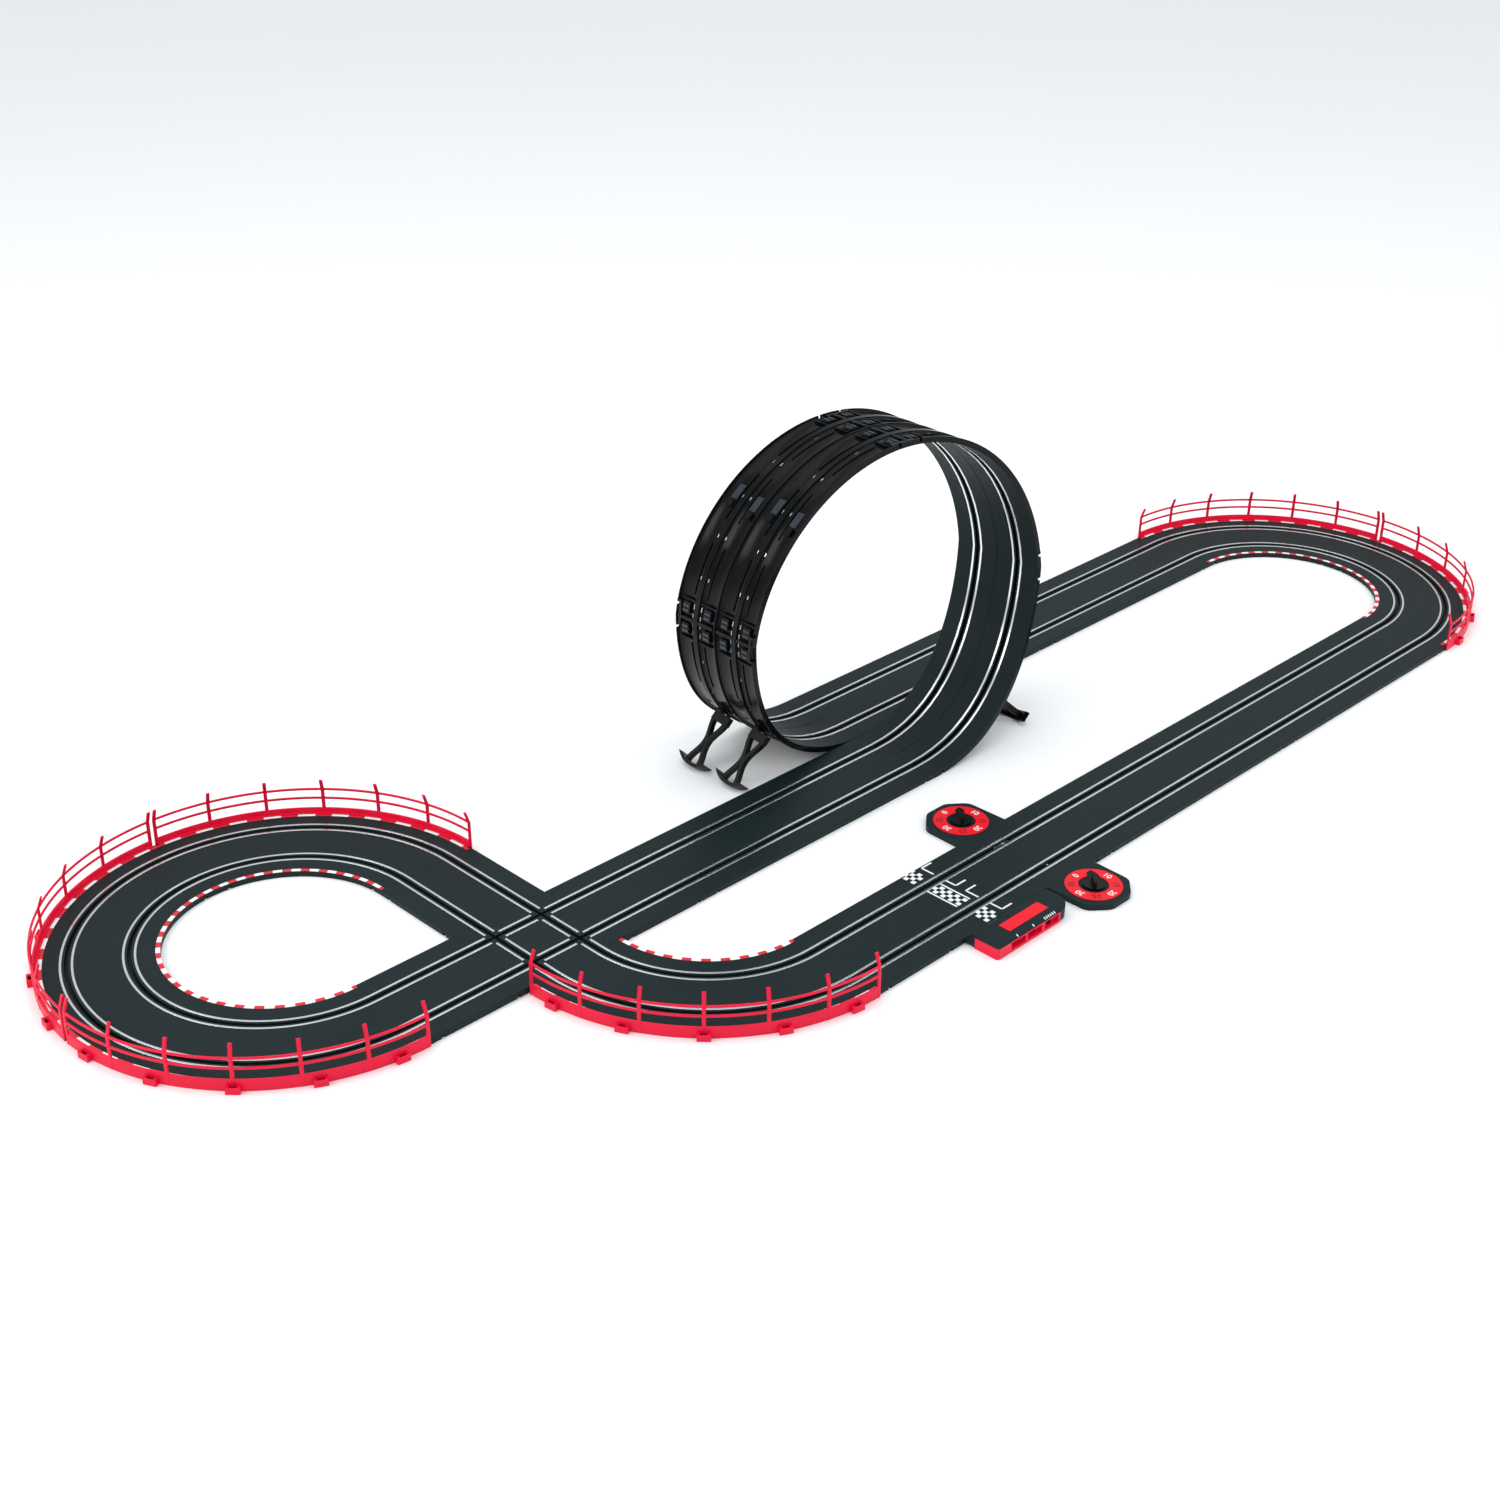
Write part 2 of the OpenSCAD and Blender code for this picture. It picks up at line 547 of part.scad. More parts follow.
// The pointer: hub, standing fin and an arm out over the ring, on its shaft.
// aim is the direction of the arm.
module pointer(aim) translate([0, dial_off, 0]) {
    translate([0, 0, track_h + 0.1]) cylinder(r = hub_r, h = 2.3);
    translate([0, 0, lever_z - 0.6]) cylinder(r = shaft_r, h = track_h);
    rotate(aim) {
        translate([-hub_r + 2, -1.4, track_h + 2]) cube([2 * hub_r - 4, 2.8, 7]);
        translate([hub_r - 2, 0, track_h + 1.1]) linear_extrude(1.3)
            polygon([[0, -4.5], [10, -4.5], [15, 0], [10, 4.5], [0, 4.5]]);
    }
}
module pointer_back() color(gloss_black) counter_side(1) pointer(45);
module pointer_front() color(gloss_black) counter_side(-1) pointer(-45);

module ratchet() translate([0, dial_off, lever_z]) difference() {
    linear_extrude(1.8) polygon([for (i = [0 : teeth - 1]) each [
        ratchet_r * [cos(45 * i), sin(45 * i)], (ratchet_r - 2.6) * [cos(45 * i + 6), sin(45 * i + 6)]]]);
    translate([0, 0, -eps]) cylinder(r = shaft_r, h = 3);
}
module ratchet_back() color("#e8e6df") counter_side(1) ratchet();
module ratchet_front() color("#e8e6df") counter_side(-1) ratchet();

// A flat lever on a pin: its finger stands in the slot, its pawl at the ratchet
module trip_lever() translate([0, pivot_off, lever_z]) difference() {
    union() {
        cylinder(r = 3.2, h = lever_t);
        translate([-1.5, lanes[1] - pivot_off, 0]) cube([3, pivot_off - lanes[1], lever_t]);
        translate([0, lanes[1] - pivot_off, 0]) cylinder(r = 1.2, h = 2.2);
        linear_extrude(lever_t) polygon([[-2.2, 0], [2.2, 0],
            [0.9, dial_off - pivot_off - ratchet_r - 0.5], [-0.9, dial_off - pivot_off - ratchet_r - 0.5]]);
    }
    translate([0, 0, -eps]) cylinder(r = pin_r + pin_gap, h = 4);
}
module trip_lever_back() color("#e8e6df") counter_side(1) trip_lever();
module trip_lever_front() color("#e8e6df") counter_side(-1) trip_lever();

// Return springs: one turn of wire round each pin, above the lever
module lever_springs() color(metal) for (side = [1, -1]) counter_side(side)
    translate([0, pivot_off, under - 0.3]) {
        rotate_extrude() translate([pin_r + 0.3, -0.2]) square([0.5, 0.4]);
        translate([pin_r + 0.4, 0, -0.2]) cube([0.4, 6, 0.4]);
    }
// Covers that close the mechanism from below
module counter_covers() color(gloss_black) for (side = [1, -1]) counter_side(side)
    intersection() {
        translate([0, 0, 0.1]) linear_extrude(1.2) polygon(plate_points(plate_r - skirt_t - 0.2));
        translate([-40, half_w + 3.5, -1]) cube([80, 80, 20]);
    }

// ------------------------------------------------------------ screws
// Self-tapping screws up through the floor into the lid
module screw(l) {
    cylinder(r = 2.3, h = 0.9);
    cylinder(r = 1.2, h = l);
}
module screws() color(metal) {
    base_at() for (x = screw_x) for (v = [8, 29]) translate([x, v, 0.3]) screw(5.5);
}

crossing();
left_arm_straight();
left_curve_1();
left_curve_2();
left_curve_3();
back_arm_straight();
near_curve();
front_short_straight();
power_straight();
counter_straight();
front_straight_1();
front_straight_2();
far_curve_1();
far_curve_2();
entry_short_straight();
entry_straight();
loop_ramp_up();
loop_upper_1();
loop_upper_2();
loop_ramp_down();
exit_straight_1();
exit_straight_2();
crossing_rails();
left_rails();
front_rails();
far_rails();
entry_rails();
loop_rails();
exit_rails();
left_fence_1();
left_fence_2();
left_fence_3();
near_fence();
far_fence_1();
far_fence_2();
loop_support_1();
loop_support_2();
loop_support_3();
loop_support_4();
joint_clips();
base_cover();
socket_block();
base_floor();
circuit_board();
socket_pins();
power_jack();
feed_contacts();
base_label();
screws();
number_ring_back();
number_ring_front();
pointer_back();
pointer_front();
ratchet_back();
ratchet_front();
trip_lever_back();
trip_lever_front();
lever_springs();
counter_covers();
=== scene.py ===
"""Finished look of a slot car track set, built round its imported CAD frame."""
import math

import bmesh
import bpy
from bpy.props import FloatProperty, FloatVectorProperty, IntProperty, PointerProperty
from mathutils import Matrix, Vector


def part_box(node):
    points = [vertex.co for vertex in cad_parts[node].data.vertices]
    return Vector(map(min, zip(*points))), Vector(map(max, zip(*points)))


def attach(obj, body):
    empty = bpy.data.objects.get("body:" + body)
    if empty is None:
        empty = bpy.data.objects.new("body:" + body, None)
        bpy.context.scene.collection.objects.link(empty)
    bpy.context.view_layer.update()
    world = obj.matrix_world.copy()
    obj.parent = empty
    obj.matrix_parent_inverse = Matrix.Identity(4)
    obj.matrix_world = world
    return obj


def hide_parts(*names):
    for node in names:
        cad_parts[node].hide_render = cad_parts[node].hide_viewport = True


bl_info = {
    "name": "Slot car track set",
    "version": (1, 0, 0),
    "blender": (4, 5, 0),
    "location": "3D View > Sidebar > Track set",
    "description": "Finished track, loop, fences, power base and lap counter over the CAD frame",
    "category": "Add Mesh",
}

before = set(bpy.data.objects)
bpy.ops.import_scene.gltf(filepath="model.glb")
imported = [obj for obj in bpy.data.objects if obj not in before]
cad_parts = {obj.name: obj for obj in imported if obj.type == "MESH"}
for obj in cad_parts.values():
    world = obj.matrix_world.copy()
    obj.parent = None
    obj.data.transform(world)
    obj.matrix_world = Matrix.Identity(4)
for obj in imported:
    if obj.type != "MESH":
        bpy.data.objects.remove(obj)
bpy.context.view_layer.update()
ROOT = "track_set"
MM = 0.001

# The layout is measured in millimetres from the middle of the crossing.
CROSSING_LOW, CROSSING_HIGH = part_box("crossing")
CROSSING = (CROSSING_LOW + CROSSING_HIGH) / 2
MODULE = (CROSSING_HIGH.x - CROSSING_LOW.x) / MM
HALF = MODULE / 2
DECK = CROSSING_HIGH.z / MM                 # height of the running surface
CURVE_R = 1.5 * MODULE
LANES = (-MODULE / 4, MODULE / 4)
FRONT_Y = -HALF - CURVE_R                   # centre line of the front straights
EXIT_Y = MODULE                             # centre line of the straights after the loop
LOOP_X = CURVE_R + 3 * MODULE
LOOP_R = 180.0
LOOP_FIRST_DRIFT = 18.0                     # sideways shift of the lowest quarter
LOOP_DRIFT_FROM = 16.0                      # angle at which it starts
LOOP_R_FOOT = LOOP_R + DECK                 # radius of the side walls' feet
LOOP_SKIN = 2.2                             # thickness of the loop's running skin
SLOT_SHADE_DEPTH = 1.6                             # below this depth the slot walls take the near-black underside colour, painted shade
QUARTER = LOOP_R * math.pi / 2              # running length of a loop section
CURVES = {                                  # centre and turn of each 90 degree curve
    "left_curve_1": (-CURVE_R, CURVE_R, 180), "left_curve_2": (-CURVE_R, CURVE_R, 90),
    "left_curve_3": (-CURVE_R, CURVE_R, 0), "near_curve": (CURVE_R, -HALF, 180),
    "far_curve_1": (LOOP_X + 6 * MODULE, -HALF, 270),
    "far_curve_2": (LOOP_X + 6 * MODULE, -HALF, 0),
}
STRAIGHTS = ("crossing", "left_arm_straight", "back_arm_straight", "front_short_straight",
             "power_straight", "counter_straight", "front_straight_1", "front_straight_2",
             "entry_short_straight", "entry_straight", "exit_straight_1", "exit_straight_2")
LOOP_QUARTERS = ("loop_ramp_up", "loop_upper_1", "loop_upper_2", "loop_ramp_down")
RAILS = ("crossing_rails", "left_rails", "front_rails", "far_rails", "entry_rails", "loop_rails",
         "exit_rails")
WELD = 2e-6                                 # points closer than this, in metres, are one
CORNER = math.radians(32)                   # a sharper turn than this stays a corner
START_X, START_Y = 338.0, FRONT_Y + 3       # middle of the printed start line
MARK_X = 356.5                              # corners of the grid marks after it


# ---------------------------------------------------------------- helpers
def placed(x, y, z=0.0, turn=0.0):
    """Matrix that puts a shape drawn in millimetres at a layout point."""
    return (Matrix.Translation((CROSSING.x + x * MM, CROSSING.y + y * MM, z * MM))
            @ Matrix.Rotation(math.radians(turn), 4, "Z") @ Matrix.Scale(MM, 4))


def add(tree, kind, inputs=None, **settings):
    """Adds a node with its settings. An input that is a socket is linked, and one
    that is a node is linked to that node's first output."""
    made = tree.nodes.new(kind)
    for name, value in settings.items():
        setattr(made, name, value)
    for key, value in (inputs or {}).items():
        if isinstance(value, bpy.types.Node):
            value = value.outputs[0]
        if isinstance(value, bpy.types.NodeSocket):
            tree.links.new(value, made.inputs[key])
        else:
            made.inputs[key].default_value = value
    return made


def linear(code):
    """Opaque linear colour from an sRGB hex code."""
    parts = [int(code[i:i + 2], 16) / 255 for i in (1, 3, 5)]
    return tuple(c / 12.92 if c <= 0.04045 else ((c + 0.055) / 1.055) ** 2.4 for c in parts) + (1.0,)


def smoothed(bm):
    """Shades every face smooth and keeps only real corners sharp."""
    for face in bm.faces:
        face.smooth = True
    for edge in bm.edges:
        edge.smooth = edge.is_manifold and edge.calc_face_angle(0.0) < CORNER


def shaded(mesh):
    """Welds a mesh, turns its faces outwards and smooths it between its corners."""
    bm = bmesh.new()
    bm.from_mesh(mesh)
    bmesh.ops.remove_doubles(bm, verts=bm.verts, dist=WELD)
    bmesh.ops.dissolve_degenerate(bm, edges=bm.edges, dist=1e-7)
    bmesh.ops.recalc_face_normals(bm, faces=bm.faces)
    smoothed(bm)
    bm.to_mesh(mesh)
    bm.free()
    return mesh


def new_object(name, mesh):
    piece = bpy.data.objects.new(name, mesh)
    bpy.context.scene.collection.objects.link(piece)
    return piece


def settled(piece, nodes=(), body=ROOT):
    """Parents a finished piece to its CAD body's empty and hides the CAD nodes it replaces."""
    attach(piece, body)
    if nodes:
        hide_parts(*nodes)
    return piece


def from_cad(name, node, material, edge=0.0, body=ROOT, free=False):
    """A welded copy of a CAD node with softened edges, edge in millimetres. A free
    bevel isn't held back by short edges."""
    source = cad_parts[node].data
    mesh = bpy.data.meshes.new(name)
    mesh.from_pydata([v.co[:] for v in source.vertices], [], [p.vertices[:] for p in source.polygons])
    bm = bmesh.new()
    bm.from_mesh(mesh)
    bmesh.ops.remove_doubles(bm, verts=bm.verts, dist=WELD)
    bmesh.ops.dissolve_limit(bm, angle_limit=math.radians(0.3), verts=bm.verts, edges=bm.edges)
    smoothed(bm)
    bm.to_mesh(mesh)
    bm.free()
    mesh.materials.append(material)
    piece = new_object(name, mesh)
    if edge:
        bevel = piece.modifiers.new("Moulded edge", "BEVEL")
        bevel.width = edge * MM
        bevel.segments = 2
        bevel.limit_method = "ANGLE"
        bevel.angle_limit = CORNER
        bevel.use_clamp_overlap = not free
        bevel.harden_normals = True
    return settled(piece, (node,), body)


def joined(name, parts):
    """One object from several plain meshes, keeping their materials."""
    bm = bmesh.new()
    materials = []
    for part in parts:
        lookup = []
        for material in part.data.materials:
            if material and material not in materials:
                materials.append(material)
            lookup.append(materials.index(material) if material else 0)
        start = len(bm.faces)
        bm.from_mesh(part.data)
        bm.faces.ensure_lookup_table()
        for face in bm.faces[start:]:
            face.material_index = lookup[face.material_index] if lookup else 0
    mesh = bpy.data.meshes.new(name)
    bm.to_mesh(mesh)
    bm.free()
    for material in materials:
        mesh.materials.append(material)
    for part in parts:
        bpy.data.objects.remove(part)
    return new_object(name, mesh)


def node_tree(name, **sockets):
    """A Geometry Nodes tree with named inputs of each kind; returns it and its inputs."""
    tree = bpy.data.node_groups.new(name, "GeometryNodeTree")
    for kind, labels in sockets.items():
        for label in labels:
            tree.interface.new_socket(name=label, in_out="INPUT", socket_type="NodeSocket" + kind)
    tree.interface.new_socket(name="Geometry", in_out="OUTPUT", socket_type="NodeSocketGeometry")
    return tree, add(tree, "NodeGroupInput").outputs


def ended(tree, geometry, material):
    """Realize Instances, Set Material and the output, the end of every tree."""
    real = add(tree, "GeometryNodeRealizeInstances", {"Geometry": geometry})
    painted = add(tree, "GeometryNodeSetMaterial", {"Geometry": real, "Material": material})
    add(tree, "NodeGroupOutput", {"Geometry": painted})
    return tree


def on_arc(tree, radius, angle):
    """The node that gives the point at a radius and an angle round the origin."""
    x, y = (add(tree, "ShaderNodeMath", {
        0: radius, 1: add(tree, "ShaderNodeMath", {0: angle}, operation=wave)},
        operation="MULTIPLY") for wave in ("COSINE", "SINE"))
    return add(tree, "ShaderNodeCombineXYZ", {"X": x, "Y": y})


def together(tree, *shapes):
    """The node that joins the geometries of others."""
    whole = add(tree, "GeometryNodeJoinGeometry")
    for shape in shapes:
        tree.links.new(shape.outputs[0], whole.inputs[0])
    return whole


def grown(name, tree, values, matrix=None, path=None):
    """Runs a tree on an object, bakes the result to a plain mesh and places it."""
    holder = new_object(name + "_holder", path or bpy.data.meshes.new(name))
    modifier = holder.modifiers.new("Nodes", "NODES")
    modifier.node_group = tree
    keys = {s.name: s.identifier for s in tree.interface.items_tree if s.in_out == "INPUT"}
    for label, value in values.items():
        modifier[keys[label]] = value
    graph = bpy.context.evaluated_depsgraph_get()
    mesh = bpy.data.meshes.new_from_object(holder.evaluated_get(graph), depsgraph=graph)
    bpy.data.objects.remove(holder)
    if not mesh.polygons:
        raise RuntimeError(f"{name}: the node tree made no faces")
    if matrix is not None:
        mesh.transform(matrix)
    mesh.name = name
    return new_object(name, shaded(mesh))


# ---------------------------------------------------------------- materials
def surface(name, base, rough, ior=1.5, metallic=0.0, grain=0.0, grain_mm=1.0, mottle=0.06,
            mottle_mm=60.0, specular=0.5, rough_spread=0.06):
    """Procedural plastic, metal, card or ink: a faint mottle in the colour and the
    gloss, and a fine grain as bump. Sizes are in millimetres on Object coordinates."""
    if name in bpy.data.materials:
        return bpy.data.materials[name]
    material = bpy.data.materials.new(name)
    material.use_nodes = True
    tree = material.node_tree
    shader = tree.nodes["Principled BSDF"]
    shader.inputs["IOR"].default_value = ior
    shader.inputs["Metallic"].default_value = metallic
    shader.inputs["Specular IOR Level"].default_value = specular
    where = add(tree, "ShaderNodeTexCoord").outputs["Object"]
    cloud = add(tree, "ShaderNodeTexNoise", {"Vector": where, "Scale": 1000 / mottle_mm, "Detail": 4.0,
                                             "Roughness": 0.6})
    colour = linear(base)
    low = tuple(c * (1 - mottle) for c in colour[:3]) + (1.0,)
    high = tuple(min(1.0, c * (1 + mottle) + 0.002) for c in colour[:3]) + (1.0,)
    mixed = add(tree, "ShaderNodeMix", {"Factor": cloud.outputs["Fac"], 6: low, 7: high}, data_type="RGBA")
    tree.links.new(mixed.outputs[2], shader.inputs["Base Color"])
    fine = add(tree, "ShaderNodeTexNoise", {"Vector": where, "Scale": 1000 / grain_mm, "Detail": 2.0})
    both = add(tree, "ShaderNodeMath", {0: cloud.outputs["Fac"], 1: fine.outputs["Fac"]}, operation="ADD")
    gloss = add(tree, "ShaderNodeMapRange", {
        "Value": both, "From Min": 0.6, "From Max": 1.4,
        "To Min": max(0.03, rough - rough_spread), "To Max": min(1.0, rough + rough_spread)})
    tree.links.new(gloss.outputs[0], shader.inputs["Roughness"])
    if grain:
        bump = add(tree, "ShaderNodeBump", {"Height": fine.outputs["Fac"], "Strength": grain,
                                            "Distance": 0.0002})
        tree.links.new(bump.outputs[0], shader.inputs["Normal"])
    return material


def matt_abs_deck():
    # ABS moulded in a spark-eroded tool: a dry, slightly greenish black that
    # shows no mirror image, only a broad soft sheen. The real grain is about
    # 0.2 mm, drawn at 1.5 mm so that it shows.
    return surface("matt_abs_deck", "#142224", 0.48, grain=0.35, grain_mm=1.5, mottle=0.2,
                   mottle_mm=45, specular=0.16)


def polished_abs_underside():
    # The same ABS from the polished half of the tool: near black with clear
    # soft highlights along the ribs.
    return surface("polished_abs_underside", "#030506", 0.2, grain=0.12, grain_mm=6, mottle=0.3,
                   mottle_mm=30, specular=0.14)


def half_gloss_abs():
    # Clips, struts and pointers in plain moulded ABS: black, half gloss.
    return surface("half_gloss_abs", "#060809", 0.32, grain=0.2, grain_mm=2, mottle=0.15,
                   mottle_mm=20, specular=0.24)


def painted_sheen_pad():
    # Flat pads of the same black ABS where the tool was left unpolished; their grey-blue base colour is a
    # painted sheen, so they read lighter than the ribs beside them.
    return surface("painted_sheen_pad", "#1d2533", 0.3, grain=0.2, grain_mm=1.5, mottle=0.2, mottle_mm=10)


def painted_shade_black():
    # Painted shade: deep black with no gloss, standing in for the unlit hollows of a moulding.
    return surface("painted_shade_black", "#020303", 0.7, mottle=0.1, mottle_mm=10, specular=0.2)


def bright_steel_rail():
    # Cold-rolled, tin-plated steel strip: bright, brushed along its length by
    # the cars' braids, so its highlight is broad but still metallic.
    return surface("bright_steel_rail", "#f6f9fa", 0.25, metallic=1.0, grain=0.1, grain_mm=0.9,
                   mottle=0.05, mottle_mm=25, rough_spread=0.1)


def red_fence_plastic():
    # Polypropylene coloured right through: saturated red, waxy half gloss.
    return surface("red_fence_plastic", "#e60a3a", 0.4, grain=0.15, grain_mm=2.5, mottle=0.05,
                   mottle_mm=40, ior=1.49, specular=0.28)


def red_socket_plastic():
    # The power base's socket block: the fences' red in a harder, glossier ABS.
    return surface("red_socket_plastic", "#e80c3a", 0.33, grain=0.12, grain_mm=2, mottle=0.05,
                   mottle_mm=20, specular=0.28)


def red_print():
    # Screen-printed ink: opaque and a little glossier than the deck.
    return surface("red_print", "#d8142e", 0.42, grain=0.2, grain_mm=1.2, mottle=0.08, mottle_mm=8)


def white_print():
    # White ink over black plastic: not quite opaque, so faintly grey in places.
    return surface("white_print", "#e9eceb", 0.45, grain=0.2, grain_mm=1.2, mottle=0.06, mottle_mm=6)


def dark_print():
    # Dark ink on the red number rings.
    return surface("dark_print", "#3a0a10", 0.5, mottle=0.1, mottle_mm=4)


def red_card():
    # Laminated paper ring: flat bright red with a slight film gloss.
    return surface("red_card", "#e80f24", 0.36, grain=0.05, grain_mm=3, mottle=0.04,
                   mottle_mm=15, specular=0.25)


def natural_acetal():
    # Unpigmented acetal of small mechanism parts: milky, slippery, satin.
    return surface("natural_acetal", "#e6e3da", 0.38, grain=0.1, grain_mm=2, mottle=0.03, mottle_mm=12)


def zinc_steel():
    # Zinc-plated screws and spring wire: grey metal, slightly cloudy.
    return surface("zinc_steel", "#aab0b4", 0.35, metallic=1.0, mottle=0.1, mottle_mm=3)


def contact_brass():
    # Bright brass contacts: warm yellow metal with clear reflections.
    return surface("contact_brass", "#d9b45a", 0.25, metallic=1.0, mottle=0.08, mottle_mm=5)


def green_solder_mask():
    # Epoxy board under green solder mask: smooth, glossy.
    return surface("green_solder_mask", "#1f5c2c", 0.28, mottle=0.15, mottle_mm=4)


def studio_paper():
    # Seamless white paper: almost no gloss and no visible mottle.
    return surface("studio_paper", "#f7f8f8", 0.9, mottle=0.005, mottle_mm=400, specular=0.1)


# ---------------------------------------------------------------- node trees
def kerb_tree():
    """Printed dashes round an arc, clipped to the quarter turn."""
    tree, given = node_tree(
        "Kerb dashes", Material=("Material",), Int=("Count",),
        Float=("Inner Radius", "Outer Radius", "First Angle", "Dash Angle", "Period", "Thickness"))
    grid = add(tree, "GeometryNodeMeshGrid", {"Size X": 1, "Size Y": 1, "Vertices X": 5, "Vertices Y": 2})
    copies = add(tree, "GeometryNodeMeshLine", {"Count": given["Count"], "Offset": (0, 0, 0)})
    spread = add(tree, "GeometryNodeInstanceOnPoints", {"Points": copies, "Instance": grid})
    index = add(tree, "GeometryNodeInputIndex")
    step = add(tree, "ShaderNodeMath", {0: index, 1: given["Period"], 2: given["First Angle"]},
               operation="MULTIPLY_ADD")
    kept = add(tree, "GeometryNodeStoreNamedAttribute", {
        "Geometry": spread, "Name": "dash_angle", "Value": step}, domain="INSTANCE", data_type="FLOAT")
    real = add(tree, "GeometryNodeRealizeInstances", {"Geometry": kept})
    start = add(tree, "GeometryNodeInputNamedAttribute", {"Name": "dash_angle"}, data_type="FLOAT")
    spot = add(tree, "ShaderNodeSeparateXYZ", {0: add(tree, "GeometryNodeInputPosition")})
    angle = add(tree, "ShaderNodeMath", {0: spot.outputs["X"], 1: given["Dash Angle"], 2: start},
                operation="MULTIPLY_ADD")
    clipped = add(tree, "ShaderNodeClamp", {"Value": angle, "Max": math.pi / 2})
    across = add(tree, "ShaderNodeMath", {0: spot.outputs["Y"], 1: 0.5}, operation="ADD")
    radius = add(tree, "ShaderNodeMapRange", {
        "Value": across, "To Min": given["Inner Radius"], "To Max": given["Outer Radius"]})
    bent = add(tree, "GeometryNodeSetPosition", {
        "Geometry": real, "Position": on_arc(tree, radius, clipped)})
    up = add(tree, "ShaderNodeCombineXYZ", {"Z": given["Thickness"]})
    thick = add(tree, "GeometryNodeExtrudeMesh", {
        "Mesh": bent, "Offset": up, "Offset Scale": 1.0, "Individual": False}, mode="FACES")
    below = add(tree, "GeometryNodeFlipFaces", {"Mesh": bent})
    closed = add(tree, "GeometryNodeMergeByDistance", {
        "Geometry": together(tree, thick, below), "Distance": 1e-4})
    return ended(tree, closed, given["Material"])


def chequer_tree():
    """Alternate squares of a grid, each a thin slab of ink."""
    tree, given = node_tree("Chequer", Int=("Columns", "Rows"), Float=("Cell", "Thickness"),
                            Material=("Material",))
    sides = []
    for count in ("Columns", "Rows"):
        gaps = add(tree, "ShaderNodeMath", {0: given[count], 1: -1.0}, operation="ADD")
        sides.append(add(tree, "ShaderNodeMath", {0: gaps, 1: given["Cell"]}, operation="MULTIPLY"))
    grid = add(tree, "GeometryNodeMeshGrid", {
        "Size X": sides[0], "Size Y": sides[1],
        "Vertices X": given["Columns"], "Vertices Y": given["Rows"]})
    index = add(tree, "GeometryNodeInputIndex")
    share = add(tree, "ShaderNodeMath", {0: index, 1: given["Rows"]}, operation="DIVIDE")
    column = add(tree, "ShaderNodeMath", {0: share}, operation="FLOOR")
    row = add(tree, "ShaderNodeMath", {0: index, 1: given["Rows"]}, operation="MODULO")
    total = add(tree, "ShaderNodeMath", {0: column, 1: row}, operation="ADD")
    odd = add(tree, "ShaderNodeMath", {0: total, 1: 2.0}, operation="MODULO")
    even = add(tree, "FunctionNodeCompare", {0: odd, 1: 0.5}, data_type="FLOAT", operation="LESS_THAN")
    size = add(tree, "ShaderNodeCombineXYZ", {
        "X": given["Cell"], "Y": given["Cell"], "Z": given["Thickness"]})
    slab = add(tree, "GeometryNodeMeshCube", {"Size": size})
    spread = add(tree, "GeometryNodeInstanceOnPoints", {
        "Points": grid, "Selection": even, "Instance": slab})
    return ended(tree, spread, given["Material"])


def row_tree():
    """A row of like blocks, cut along their length so that they can be bent."""
    tree, given = node_tree("Row of blocks", Vector=("Size", "First", "Step"), Int=("Count", "Cuts"),
                            Material=("Material",))
    block = add(tree, "GeometryNodeMeshCube", {"Size": given["Size"], "Vertices X": given["Cuts"]})
    line = add(tree, "GeometryNodeMeshLine", {
        "Count": given["Count"], "Start Location": given["First"], "Offset": given["Step"]},
        mode="OFFSET")
    spread = add(tree, "GeometryNodeInstanceOnPoints", {"Points": line, "Instance": block})
    return ended(tree, spread, given["Material"])


def sweep_tree():
    """A closed cross-section carried along a path. The path's points hold the
    direction of the section's width and a sideways drift."""
    tree, given = node_tree("Swept section", Geometry=("Geometry",), Object=("Section",),
                            Material=("Material",))
    curve = add(tree, "GeometryNodeMeshToCurve", {"Mesh": given["Geometry"]})
    side = add(tree, "GeometryNodeInputNamedAttribute", {"Name": "side"}, data_type="FLOAT_VECTOR")
    aimed = add(tree, "GeometryNodeSetCurveNormal", {"Curve": curve, "Normal": side}, mode="FREE")
    shape = add(tree, "GeometryNodeObjectInfo", {"Object": given["Section"]})
    outline = add(tree, "GeometryNodeMeshToCurve", {"Mesh": shape.outputs["Geometry"]})
    swept = add(tree, "GeometryNodeCurveToMesh", {
        "Curve": aimed, "Profile Curve": outline, "Fill Caps": True})
    drift = add(tree, "GeometryNodeInputNamedAttribute", {"Name": "drift"}, data_type="FLOAT")
    shift = add(tree, "ShaderNodeCombineXYZ", {"Y": drift})
    moved = add(tree, "GeometryNodeSetPosition", {"Geometry": swept, "Offset": shift})
    return ended(tree, moved, given["Material"])


